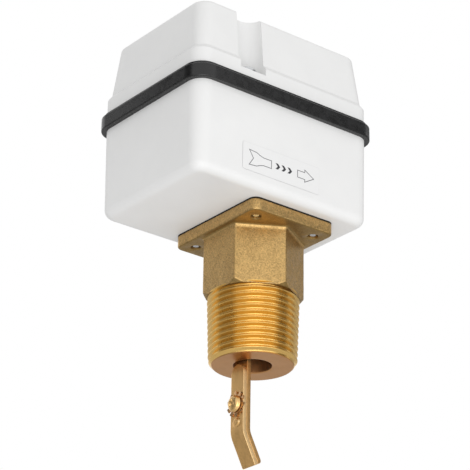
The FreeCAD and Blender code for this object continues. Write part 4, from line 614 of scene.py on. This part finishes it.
def bent_path(centre_x, top, rows_up=40, rows_bend=20, rows_end=24):
    """Places and tangent angles on line, arc and line, offset from the joint line."""
    shift = centre_x - joint_x
    half = math.tan(BEND_ANGLE / 2)
    corner = BEND_CORNER + shift * half
    radius = BEND_RADIUS - shift
    run = radius * half
    length = BENT_LENGTH - shift * half
    up = np.linspace(top, corner + run, rows_up)
    turn = np.linspace(0.0, BEND_ANGLE, rows_bend)[1:]
    arc_x = centre_x + radius * (1.0 - np.cos(turn))
    arc_z = corner + run - radius * np.sin(turn)
    # the rows crowd towards the tip, where the corners are rounded
    step = (length - run) * np.sin(np.linspace(0.0, TURN / 4, rows_end))[1:]
    end_x = arc_x[-1] + step * math.sin(BEND_ANGLE)
    end_z = arc_z[-1] - step * math.cos(BEND_ANGLE)
    x = np.concatenate([np.full(rows_up, centre_x), arc_x, end_x])
    z = np.concatenate([up, arc_z, end_z])
    lean = np.concatenate([np.zeros(rows_up), turn, np.full(rows_end - 1, BEND_ANGLE)])
    return x, z, lean


def tip_widths(path, half_width, corner=1.2):
    """Half width near the tip: half − r + √(r² − (r − d)²), with d the distance to the tip."""
    x, z, lean = path
    from_tip = np.hypot(x - x[-1], z - z[-1])
    short = np.clip(corner - from_tip, 0.0, corner)
    return half_width - corner + np.sqrt(corner ** 2 - short ** 2)


def strip_section(half_width, half_thick, corner, across=25):
    """A rounded rectangle as (across, through) pairs, fine along its two broad faces."""
    corner = min(corner, half_width * 0.9)
    turn = np.linspace(0.0, TURN / 4, 6)
    flat = np.linspace(-1.0, 1.0, across) * (half_width - corner)
    right = np.stack([half_width - corner + corner * np.cos(turn),
                      half_thick - corner + corner * np.sin(turn)], axis=1)
    top = np.stack([flat[::-1][1:-1], np.full(across - 2, half_thick)], axis=1)
    left = np.stack([-right[::-1, 0], right[::-1, 1]], axis=1)
    return np.concatenate([right, top, left, -right, -top, -left])


def strip_grid(thick, path, half_widths, corner=0.18, rib=None):
    """Carry the section along the path; the section's second axis leans with the path."""
    x, z, lean = path
    section = np.stack([strip_section(half, thick / 2, corner) for half in half_widths])
    across, through = section[:, :, 0], section[:, :, 1]
    if rib is not None:
        through = through - rib(across, z[:, None]) * (through < -thick / 2 + 1e-6)
    grid_x = x[:, None] + through * np.cos(lean)[:, None]
    grid_z = z[:, None] + through * np.sin(lean)[:, None]
    return np.stack([grid_x, across, grid_z], axis=-1)


# %% The arm
arm_centre = ARM_FACE - ARM_THICK / 2
arm_path = bent_path(arm_centre, corners_of("paddle_arm")[1][2], rows_up=60)
arm_widths = tip_widths(arm_path, STRIP_WIDTH / 2)
arm = tube_surface("arm", strip_grid(ARM_THICK, arm_path, arm_widths),
                   [strip_brass, arm_edge_brass], "paddle")
for side in (Y, -Y):
    paint_facing(arm, side, 1)
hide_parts("paddle_arm")


# %% The clamp, with a half-round top and a pressed rib
def smooth(value, low, high):
    """Smoothstep between low and high."""
    share = np.clip((value - low) / (high - low), 0.0, 1.0)
    return share * share * (3.0 - 2.0 * share)


def pressed_rib(across, height):
    """An oval button: flat on top, falling smoothly to nothing at its half sizes."""
    away = np.hypot(across / RIB_HALF_WIDTH, (height - RIB_CENTRE) / RIB_HALF_HEIGHT)
    return RIB_RISE * smooth(1.0 - away, 0.0, 0.5)


clamp_centre = joint_x - CLAMP_THICK / 2
clamp_path = bent_path(clamp_centre, CLAMP_TOP, rows_up=150, rows_bend=20)
depth_below = CLAMP_TOP - clamp_path[1]
half = STRIP_WIDTH / 2
crown = np.sqrt(np.clip(half ** 2 - (half - depth_below) ** 2, 0.02, None))
clamp_widths = np.where(depth_below < half, crown, tip_widths(clamp_path, half, 0.5))
clamp_grid = strip_grid(CLAMP_THICK, clamp_path, clamp_widths, rib=pressed_rib)
clamp = tube_surface("clamp", clamp_grid, [strip_brass, clamp_edge_brass], "paddle")
for side in (Y, -Y):
    paint_facing(clamp, side, 1)
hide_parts("paddle_clamp")

# %% [markdown]
# ## Screws with a cross recess
#
# A pan head is a low dome with a short upright rim. Its cross recess is pressed in, so the
# head can be one height field on a disc: the dome's height minus the depth of two crossed,
# tapering slots. That gives soft, pressed edges which a boolean cut would not have.


# %% Pan head as a height field
def cross_recess(x, y, reach, depth, width):
    """Two crossed slots whose floor rises towards the ends of the cross."""
    away = np.hypot(x, y)
    floor = 1.0 - smooth(away, reach * 0.15, reach)
    slot_x = 1.0 - smooth(np.abs(y), width * 0.55, width * 1.05)
    slot_y = 1.0 - smooth(np.abs(x), width * 0.55, width * 1.05)
    hub = 1.0 - smooth(away, reach * 0.28, reach * 0.5)
    return depth * np.maximum(np.maximum(slot_x, slot_y) * floor, hub * 0.9)


def single_slot(x, y, reach, depth, width):
    """One straight slot right across the head. It takes what cross_recess takes."""
    return depth * (1.0 - smooth(np.abs(y), width * 0.8, width * 1.1))


def screw_grid(head_radius, head_height, shank_radius, length, recess, turned=0.0,
               pitch=0.7, columns=96, rim_share=0.42, sunk=0.62):
    """Head dome from the middle out, rim, underside, threaded shank and tip.

    The dome is h·(rim + (1 − rim)·√(1 − s^2.6)) less the recess, s the share of the radius.
    """
    angle = np.linspace(0.0, TURN, columns, endpoint=False)
    share = np.linspace(0.02, 1.0, 34)[:, None]
    across = share * head_radius * 0.985
    x, y = across * np.cos(angle), across * np.sin(angle)
    dome = head_height * (rim_share + (1.0 - rim_share)
                          * np.sqrt(np.clip(1.0 - share ** 2.6, 0.0, 1.0)))
    spun_x = x * math.cos(turned) + y * math.sin(turned)
    spun_y = y * math.cos(turned) - x * math.sin(turned)
    top = dome - recess(spun_x, spun_y, head_radius * 0.62, head_height * sunk,
                        head_radius * 0.16)
    head = np.stack([x, y, top * np.ones_like(x)], axis=-1)
    rim = ring_grid([(head_radius, head_height * rim_share * 0.86),
                     (head_radius, head_height * rim_share * 0.2),
                     (head_radius - 0.12, 0.0), (shank_radius, 0.0)], columns)
    rows = max(6, int(length / pitch * 6))
    height = -np.linspace(0.05, length, rows)[:, None] * np.ones((1, columns))
    phase = (height / pitch - angle / TURN) % 1.0
    groove = 0.14 * pitch / 0.7 * (1.0 - np.abs(2.0 * phase - 1.0))
    reach = shank_radius - groove - 0.35 * smooth(-height, length - 0.6, length)
    shank = np.stack([reach * np.cos(angle), reach * np.sin(angle), height], axis=-1)
    return np.concatenate([head, rim, shank])


def add_screw(name, node, body, finish, grid, axes, origin):
    """Lay a screw on its axes at the node's own place and let it stand for that node."""
    rows, columns = grid.shape[:2]
    points = laid(grid.reshape(-1, 3), *axes, origin).reshape(rows, columns, 3)
    piece = tube_surface(name, points, finish, body, sharp=40.0)
    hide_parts(node)
    return piece


# %% Clamp screw and star washer
low, high = corners_of("clamp_screw")
clamp_face = clamp_centre - CLAMP_THICK / 2
washer_thick = corners_of("star_washer")[1][0] - corners_of("star_washer")[0][0]
screw_z = (low[2] + high[2]) / 2
under_head = clamp_face - washer_thick
add_screw("clamp_screw_cross", "clamp_screw", "clamp_screw", screw_brass,
          screw_grid(3.1, 2.0, 1.95, high[0] - under_head, cross_recess, turned=0.5,
                     rim_share=0.14, sunk=0.36),
          (Y, Z, -X), (under_head, 0.0, screw_z))


def star_washer_grid(outer, inner, thick, teeth=10, columns=320):
    """A ring whose rim is cut into teeth, each twisted about its own radius.

    The rim's radius is outer − 1.2·(1 − tooth). Across each tooth it climbs from half the
    spare thickness below the middle to half above it.
    """
    angle = np.linspace(0.0, TURN, columns, endpoint=False)
    phase = (angle * teeth / TURN) % 1.0
    tooth = smooth(phase, 0.04, 0.20) * (1.0 - smooth(phase, 0.62, 0.78))
    rim = outer - 1.2 * (1.0 - tooth)
    middle = outer - 1.5
    sheet = thick * 0.45
    across_tooth = 2.0 * np.clip((phase - 0.12) / 0.52, 0.0, 1.0) - 1.0
    twist = (thick - sheet) * 0.5 * across_tooth * tooth
    rows = []
    for reach, height in ((inner, -sheet / 2), (inner, sheet / 2), (middle, sheet / 2),
                          (rim, sheet / 2 + twist), (rim, -sheet / 2 + twist),
                          (middle, -sheet / 2)):
        reach = reach * np.ones(columns)
        rows.append(np.stack([reach * np.cos(angle), reach * np.sin(angle),
                              height * np.ones(columns)], axis=-1))
    return np.stack(rows)


washer = star_washer_grid(4.8, 2.1, washer_thick)
washer = laid(washer.reshape(-1, 3), Y, Z, -X,
              (clamp_face - washer_thick / 2, 0.0, screw_z)).reshape(washer.shape)
star_washer = tube_surface("star_lock_washer", washer, washer_bronze, "paddle",
                           closed_profile=True, sharp=30.0)
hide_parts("star_washer")


# %% Cover screws and the screws inside
def upright_screw(name, node, finish, slot, head, shank_radius, recess, **shape):
    """A screw that fills its node's height, its head level with the top of the node's box."""
    low, high = corners_of(node)
    middle = (low + high) / 2
    head_radius, head_height = head
    grid = screw_grid(head_radius, head_height, shank_radius, high[2] - low[2] - head_height,
                      recess, **shape)
    return add_screw(name, node, node, finish, grid, (X, Y, Z),
                     (middle[0], middle[1], high[2] - head_height))


for side in ("front", "rear"):
    node = f"cover_screw_{side}"
    upright_screw(f"{node}_cross", node, plated_steel, "steel_screw", (3.7, 2.5), 1.65,
                  cross_recess, turned=0.3, pitch=1.4)
for number in (1, 2, 3):
    node = f"terminal_screw_{number}"
    upright_screw(f"{node}_slotted", node, plated_steel, "steel_screw", (2.5, 1.9), 1.45,
                  single_slot, turned=0.7, pitch=0.5, columns=64)
upright_screw("earth_screw_cross", "earth_screw", screw_brass, "brass_screw", (3.6, 2.6), 1.95,
              cross_recess, turned=0.2)

# %% [markdown]
# ## Bellows and range spring
#
# The bellows seals the arm: its upper end is soldered to a collar, its lower end to a cap on
# the arm, and it bends when the arm swings. Its wall is a turned wave. The spring is a wire
# carried along a helix whose first and last turns lie flat. Both join a fixed body to the
# moving arm.


# %% Bellows wall
def bellows_grid(root, crest, waves, top, length, wall=0.3, columns=120):
    """Radius = root + (crest − root)·((1 − cos(2π·waves·s)) / 2)^0.75, down and back up."""
    share = np.linspace(0.0, 1.0, waves * 16 + 1)
    swell = ((1.0 - np.cos(TURN * waves * share)) / 2) ** 0.75
    reach = root + (crest - root) * swell
    height = top - length * share
    outside = list(zip(reach, height))
    inside = list(zip(reach[::-1] - wall, height[::-1]))
    neck_out = [(root, top + COLLAR_DEPTH)]
    neck_in = [(root - wall, top + COLLAR_DEPTH)]
    return ring_grid(neck_out + outside + inside + neck_in, columns)


low, high = corners_of("bellows")
bellows_top = seat - COLLAR_DEPTH
waves = bellows_grid(7.75, 10.0, 5, bellows_top, bellows_top - low[2])
bellows = tube_surface("bellows_wave", waves, bellows_bronze, closed_profile=True, sharp=80.0)
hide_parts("bellows")
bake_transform(bellows)


# %% Range spring
def spring_grid(mean, wire, low_z, high_z, turns=6.5, per_turn=40, around=12):
    """A helix whose height follows a flat, rising, flat ramp, with a round wire round it."""
    share = np.linspace(0.0, 1.0, int(turns * per_turn))
    turn = TURN * turns * share
    flat = 1.0 / turns
    coil = 2.1 * wire / (high_z - low_z)
    ramp = np.interp(share, [0.0, flat, 1.0 - flat, 1.0], [0.0, coil, 1.0 - coil, 1.0])
    height = low_z + wire + (high_z - low_z - 2 * wire) * ramp
    around = np.linspace(0.0, TURN, around, endpoint=False)
    reach = mean + wire * np.cos(around)[None, :]
    return np.stack([reach * np.cos(turn)[:, None], reach * np.sin(turn)[:, None],
                     height[:, None] + wire * np.sin(around)[None, :]], axis=-1)


low, high = corners_of("range_spring")
spring_x = sum(corner[0] for corner in corners_of("range_screw")) / 2
spring = spring_grid(3.6, 0.42, low[2], high[2]) + np.array([spring_x, 0.0, 0.0])
range_spring = tube_surface("range_spring_wire", spring, spring_steel, sharp=60.0)
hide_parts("range_spring")
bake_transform(range_spring)

# %% [markdown]
# ## The direction label
#
# A thin film on the long side of the housing says which way the medium must go. It
# is a rounded plate a tenth of a millimetre thick that leans with the wall. The arrows are
# outlines: each is a closed path whose inner edge is the same path moved inwards, so the ink
# has an even width. Between them stand three bold chevrons, each one path with six corners.
# A hair-thin line round the film stands for the shadow along its cut edge.

# %% Where the wall is
low, high = corners_of("base_housing")
rim_level = corners_of("rim_seal")[0][2]
WALL_TAPER = 0.55
WALL_DRAFT = WALL_TAPER / (rim_level - low[2])
HOUSING_WIDTH = 61.2
wall_at_rim = -HOUSING_WIDTH / 2
print(f"the wall draws in by {WALL_TAPER} mm over {rim_level - low[2]:.1f} mm")


def on_wall(points_xz, lift):
    """Points in the wall's own plane, raised by lift: y follows the wall's draft."""
    x, z = points_xz[..., 0], points_xz[..., 1]
    y = wall_at_rim + (rim_level - z) * WALL_DRAFT - lift
    return np.stack([x, y, z], axis=-1)


def plate_on_wall(name, outline, low_lift, high_lift, finish, hole=None):
    """A thin plate with the given outline, or a band between an outline and a hole."""
    loops = [outline] if hole is None else [outline, hole]
    count = len(outline)
    points = np.concatenate([on_wall(loop, lift)
                             for loop in loops for lift in (low_lift, high_lift)])
    ring = np.arange(count)
    following = (ring + 1) % count

    def wall(first, second):
        """Four-cornered faces between two loops, given by their first points."""
        quads = [first + ring, first + following, second + following, second + ring]
        return np.stack(quads, 1)

    if hole is None:
        faces = [wall(0, count), ring[None, ::-1].copy(), (count + ring)[None, :]]
    else:
        order = [0, count, 3 * count, 2 * count, 0]
        faces = [np.concatenate([wall(*pair) for pair in zip(order, order[1:])])]
    piece = add_piece(name, build_mesh(name, points, faces, 30.0), finish, "housing")
    return piece


def rounded_outline(x0, x1, z0, z1, corner, steps=8):
    """A rounded rectangle in the wall's plane."""
    turn = np.linspace(0.0, TURN / 4, steps)
    left, right, low, high = x0 + corner, x1 - corner, z0 + corner, z1 - corner
    arcs = []
    for start, (x, z) in enumerate(((right, high), (left, high), (left, low), (right, low))):
        angle = turn + start * TURN / 4
        arcs.append(np.stack([x + corner * np.cos(angle), z + corner * np.sin(angle)], 1))
    return np.concatenate(arcs)


def inward(outline, width):
    """The same polygon with each corner moved along its mitre by width."""
    before = np.roll(outline, 1, axis=0)
    after = np.roll(outline, -1, axis=0)
    first = (outline - before) / np.linalg.norm(outline - before, axis=1, keepdims=True)
    second = (after - outline) / np.linalg.norm(after - outline, axis=1, keepdims=True)
    normal_1 = np.stack([-first[:, 1], first[:, 0]], 1)
    normal_2 = np.stack([-second[:, 1], second[:, 0]], 1)
    mitre = (normal_1 + normal_2) / (1.0 + np.sum(normal_1 * normal_2, 1, keepdims=True))
    area = np.sum(outline[:, 0] * after[:, 1] - after[:, 0] * outline[:, 1])
    return outline + mitre * width * np.sign(area)


# %% Film, arrows and chevrons
LABEL_LEFT, LABEL_RIGHT, LABEL_LOW, LABEL_HIGH = -29.7, 6.1, 33.5, 44.4
TAIL_LEVEL, CHEVRON_LEVEL, HEAD_LEVEL = 38.8, 38.95, 39.1
INK = 0.24
INK_FOOT, INK_TOP = 0.05, 0.11
film = rounded_outline(LABEL_LEFT, LABEL_RIGHT, LABEL_LOW, LABEL_HIGH, 0.8)
plate_on_wall("label_film", film, -0.05, 0.07, label_film)
plate_on_wall("label_edge", film, 0.0, 0.075, label_edge, hole=inward(film, 0.1))
tail_half = np.array([(-16.3, 1.65), (-20.0, 1.65), (-21.7, 2.1), (-23.3, 2.8), (-26.9, 3.1)])
tail = np.concatenate([tail_half, [(-24.9, 0.0)], tail_half[::-1] * (1, -1)])
head_half = np.array([(-4.3, 1.5), (-0.9, 1.5), (-0.9, 2.65)])
head = np.concatenate([head_half, [(3.7, 0.0)], head_half[::-1] * (1, -1)])
for name, path, level in (("label_tail", tail, TAIL_LEVEL), ("label_head", head, HEAD_LEVEL)):
    outline = path + (0.0, level)
    plate_on_wall(name, outline, INK_FOOT, INK_TOP, arrow_ink, hole=inward(outline, INK))


def chevron(tip_x, middle_z, half_height=1.15, slant=1.0, width=1.1):
    """A bold ">": two slanting bars that meet at the tip."""
    outer = [(tip_x - slant, middle_z + half_height), (tip_x, middle_z)]
    back = [(x - width, z) for x, z in outer]
    lower = [(x, 2 * middle_z - z) for x, z in (outer[0], back[0])]
    return np.array([outer[1], outer[0], back[0], back[1], lower[1], lower[0]])


for number, tip_x in enumerate((-12.4, -9.6, -6.8), start=1):
    mark = chevron(tip_x, CHEVRON_LEVEL)
    plate_on_wall(f"label_chevron_{number}", mark, INK_FOOT, INK_TOP, label_ink)

# %% [markdown]
# ## Cable gland
#
# The gland's pieces are hexagons with bevelled ends that run out into turned shapes, so the
# same star-shaped rows serve: a hexagon outline cut by a cone near each end gives the curved
# bevel that every real nut has. The dome of the cap nut is fluted for grip.


# %% Gland pieces
def bevelled_hexagon(flats, low, high, bevel, edge=0.5, steps=5):
    """Rows of a hexagonal prism whose corners are cut by a cone at both ends."""
    corner = flats / 2 / math.cos(TURN / 12)
    drop = corner - flats / 2 + 0.1

    def coned(share, height):
        """One row: the hexagon, cut by a cone that takes more of it as share grows."""
        cone = corner - drop * share ** 1.6
        return lambda angle: np.minimum(hexagon_radius(angle, flats, edge), cone), height

    shares = np.linspace(0.0, 1.0, steps)
    return ([coned(1.0 - share, low + bevel * share) for share in shares]
            + [coned(share, high - bevel + bevel * share) for share in shares])


def fluted(radius, depth=0.45, count=24):
    """A circle with shallow scallops."""
    return lambda angle: radius - depth * (0.5 + 0.5 * np.cos(angle * count)) ** 2


def lay_out(grid, origin):
    """Turn rows drawn upright so that up becomes +Y, and move them to the gland."""
    flat = laid(grid.reshape(-1, 3), X, -Z, Y, origin)
    return flat.reshape(grid.shape)


low, high = corners_of("gland_body")
gland_x, gland_z = (low[0] + high[0]) / 2, (low[2] + high[2]) / 2
WALL_GAP = 0.6
gland_origin = (gland_x, HOUSING_WIDTH / 2 + WALL_GAP, gland_z)
GLAND_FLATS = 20.0
NECK_END = 13.0


def threaded_rows(radius, low, high, pitch=1.5, depth=0.45):
    """Ring grooves at a thread's pitch, for a thread that is mostly hidden."""
    rows = []
    for height in np.arange(low, high, pitch / 4):
        phase = ((height - low) / pitch) % 1.0
        rows.append((radius - depth * (1.0 - abs(2.0 * phase - 1.0)), height))
    return rows


body_rows = ([(6.1, -10.5), (7.4, -10.5)] + threaded_rows(8.0, -10.0, -0.2)
             + [(8.0, 0.0), (9.6, 0.0)] + bevelled_hexagon(GLAND_FLATS, 0.02, 5.0, 0.9)
             + [(9.0, 5.0), (7.7, 5.0)] + threaded_rows(7.7, 5.2, NECK_END - 0.4)
             + [(7.1, NECK_END), (6.1, NECK_END)])
body_grid = lay_out(ring_grid(body_rows, 180), gland_origin)
gland_body = tube_surface("gland_body_moulded", body_grid, grey_nylon, "housing",
                          closed_profile=True, sharp=30.0)
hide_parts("gland_body")
nut_low, nut_high = 5.8, 17.8
shoulder = nut_low + 7.2
nut_rows = ([(7.85, nut_low), (9.4, nut_low)]
            + bevelled_hexagon(GLAND_FLATS, nut_low + 0.02, shoulder, 0.9)
            + [(fluted(9.75), shoulder + 0.05), (fluted(9.6), shoulder + 1.2),
               (fluted(9.2), shoulder + 2.4), (fluted(8.5, 0.3), shoulder + 3.6),
               (8.0, nut_high - 0.6), (7.5, nut_high - 0.15), (7.0, nut_high), (5.7, nut_high),
               (5.4, nut_high - 0.3), (5.4, NECK_END + 2.6), (6.4, NECK_END + 2.6),
               (7.85, NECK_END + 0.4)])
nut_grid = lay_out(ring_grid(nut_rows, 288), gland_origin)
gland_nut = tube_surface("gland_nut_fluted", nut_grid, grey_nylon, "gland_nut",
                         closed_profile=True, sharp=30.0)
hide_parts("gland_nut")

# %% [markdown]
# ## Light, ground and camera
#
# Metal looks like what it reflects. In an even white room brass turns to flat cream, so a
# studio stands grey cards beside it. Here the cards are seen by reflections only: two on the
# left, two on the right, and a small black one close to the upstream side that deepens the
# band near its corner. One large soft lamp stands in front, a smaller one low on the right
# and a weak one below. A white world fills the rest and is the plain background, and the
# ground lies far below, out of the way of a view from underneath. We could light with lamps
# alone, but then metal would mirror an empty room, and that looks black.


# %% World and ground
def white_world(strength):
    """White where the camera, a mirror or glass looks, softer where it lights a matt skin."""
    world = bpy.data.worlds.new("studio")
    bpy.context.scene.world = world
    world.use_nodes = True
    nodes = world.node_tree.nodes
    links = world.node_tree.links
    nodes.clear()
    path = nodes.new("ShaderNodeLightPath")
    seen = path.outputs["Is Camera Ray"]
    for ray in ("Is Glossy Ray", "Is Transmission Ray"):
        either = nodes.new("ShaderNodeMath")
        either.operation = "MAXIMUM"
        links.new(seen, either.inputs[0])
        links.new(path.outputs[ray], either.inputs[1])
        seen = either.outputs[0]
    mix = nodes.new("ShaderNodeMixShader")
    links.new(seen, mix.inputs["Fac"])
    for number, level in ((1, strength), (2, 1.0)):
        white = nodes.new("ShaderNodeBackground")
        white.inputs["Color"].default_value = (1.0, 1.0, 1.0, 1.0)
        white.inputs["Strength"].default_value = level
        links.new(white.outputs[0], mix.inputs[number])
    out = nodes.new("ShaderNodeOutputWorld")
    links.new(mix.outputs[0], out.inputs["Surface"])


def flat_card(name, middle, normal, width, height, grey):
    """A plain matt card that faces along its normal."""
    normal = np.array(normal, dtype=float)
    normal /= np.linalg.norm(normal)
    side = np.cross(Z, normal) if abs(normal[2]) < 0.95 else X
    side = side / np.linalg.norm(side)
    up = np.cross(normal, side)
    points = [np.array(middle) + side * a * width / 2 + up * b * height / 2
              for a, b in ((-1, -1), (1, -1), (1, 1), (-1, 1))]
    mesh = bpy.data.meshes.new(name)
    mesh.from_pydata([tuple(point * MM) for point in points], [], [(0, 1, 2, 3)])
    card = bpy.data.objects.new(name, mesh)
    bpy.context.scene.collection.objects.link(card)
    material = bpy.data.materials.new(name)
    material.use_nodes = True
    shader = material.node_tree.nodes["Principled BSDF"]
    shader.inputs["Base Color"].default_value = (grey, grey, grey, 1.0)
    shader.inputs["Roughness"].default_value = 0.9
    mesh.materials.append(material)
    return card


WORLD_STRENGTH = 0.77
GROUND_LEVEL, GROUND_WIDTH, GROUND_GREY = -1000.0, 20000.0, 0.75
white_world(WORLD_STRENGTH)
flat_card("ground", (0.0, 0.0, GROUND_LEVEL), Z, GROUND_WIDTH, GROUND_WIDTH, GROUND_GREY)
print(f"the ground lies {-GROUND_LEVEL / 1000:.1f} m below the thread shoulder")

# %% [markdown]
# The camera stands below the switch and looks up at it, so its place follows from two angles,
# a distance and the point it aims at. A long lens from far away keeps upright edges upright.

# %% Camera
CAMERA_AZIMUTH = math.radians(-37.979)
CAMERA_ELEVATION = math.radians(-24.215)
CAMERA_ROLL = math.radians(0.882)
CAMERA_DISTANCE = 792.717
AIM_ASIDE = -7.095
AIM_UP = 26.058
LENS, SENSOR_WIDTH = 162.757, 36.0
CLIP = (0.01, 20.0)


def camera_frame():
    """Right, up and backward axes of the camera from its azimuth, elevation and roll."""
    sin_a, cos_a = math.sin(CAMERA_AZIMUTH), math.cos(CAMERA_AZIMUTH)
    sin_e, cos_e = math.sin(CAMERA_ELEVATION), math.cos(CAMERA_ELEVATION)
    back = np.array([sin_a * cos_e, -cos_a * cos_e, sin_e])
    level = np.array([cos_a, sin_a, 0.0])
    upward = np.cross(back, level)
    right = math.cos(CAMERA_ROLL) * level + math.sin(CAMERA_ROLL) * upward
    up = -math.sin(CAMERA_ROLL) * level + math.cos(CAMERA_ROLL) * upward
    place = level * AIM_ASIDE + np.array([0.0, 0.0, AIM_UP]) + back * CAMERA_DISTANCE
    return right, up, back, place


right, up, back, place = camera_frame()
lens = bpy.data.cameras.new("camera")
lens.lens = LENS
lens.sensor_width = SENSOR_WIDTH
lens.clip_start, lens.clip_end = CLIP
camera = bpy.data.objects.new("camera", lens)
bpy.context.scene.collection.objects.link(camera)
camera.matrix_world = Matrix([(*(float(axis[row]) for axis in (right, up, back)),
                               float(place[row]) * MM) for row in range(3)] + [(0, 0, 0, 1)])
bpy.context.scene.camera = camera
print("camera at", [round(float(value)) for value in place], "mm")

# %% [markdown]
# Lamps are squares of soft light at a given direction and distance. A shade card darkens part
# of what metal mirrors, and nothing else: light passes through it and the camera can't see it.


# %% Lamps and cards
def soft_lamp(name, towards, distance, size, power):
    """A square area lamp that looks at the middle of the switch."""
    direction = np.array(towards, dtype=float)
    direction /= np.linalg.norm(direction)
    light = bpy.data.lights.new(name, "AREA")
    light.shape = "SQUARE"
    light.size = size * MM
    light.energy = power
    lamp = bpy.data.objects.new(name, light)
    lamp.visible_camera = False
    bpy.context.scene.collection.objects.link(lamp)
    lamp.location = Vector(tuple((LAMP_AIM + direction * distance) * MM))
    lamp.rotation_euler = Vector(tuple(direction)).to_track_quat("Z", "Y").to_euler()
    return lamp


def shade_card(name, middle, normal, width, height, grey):
    """A card that only reflections see."""
    card = flat_card(name, middle, normal, width, height, grey)
    card.visible_camera = False
    card.visible_diffuse = False
    card.visible_shadow = False
    card.visible_transmission = False
    return card


def upright_card(name, azimuth, distance, width, grey, lift=0.0):
    """A tall shade card at a compass angle in degrees from +X, facing the switch."""
    turn = math.radians(azimuth)
    outwards = np.array([math.cos(turn), math.sin(turn), 0.0])
    return shade_card(name, CARD_AIM + outwards * distance + Z * lift, -outwards, width,
                      CARD_HEIGHT, grey)


LAMP_AIM = np.array([-5.0, 0.0, seat])
CARD_AIM = np.array([-5.0, 0.0, seat - 20.0])
CARD_HEIGHT = 700.0
for name, towards, distance, size, power in (
        ("front", back + right * 0.1, 900.0, 700.0, 3.0),
        ("right", back * 0.5 + right * 0.8 - Z * 0.35, 900.0, 500.0, 1.35),
        ("below", back * 0.6 - Z * 0.6, 470.0, 400.0, 0.2)):
    soft_lamp(name, towards, distance, size, power)
upright_card("shade_left", 151.0, 420.0, 400.0, 0.34)
upright_card("shade_left_strip", 177.0, 400.0, 50.0, 0.06)
upright_card("shade_right", 318.0, 420.0, 300.0, 0.22)
upright_card("shade_back_right", 8.0, 430.0, 280.0, 0.40, 150.0)
shade_card("shade_corner", (-119.0, 32.0, 140.0), X, 105.0, 110.0, 0.0)
bpy.context.scene.view_settings.view_transform = "Standard"
print(len(bpy.data.lights), "lamps and five shade cards")
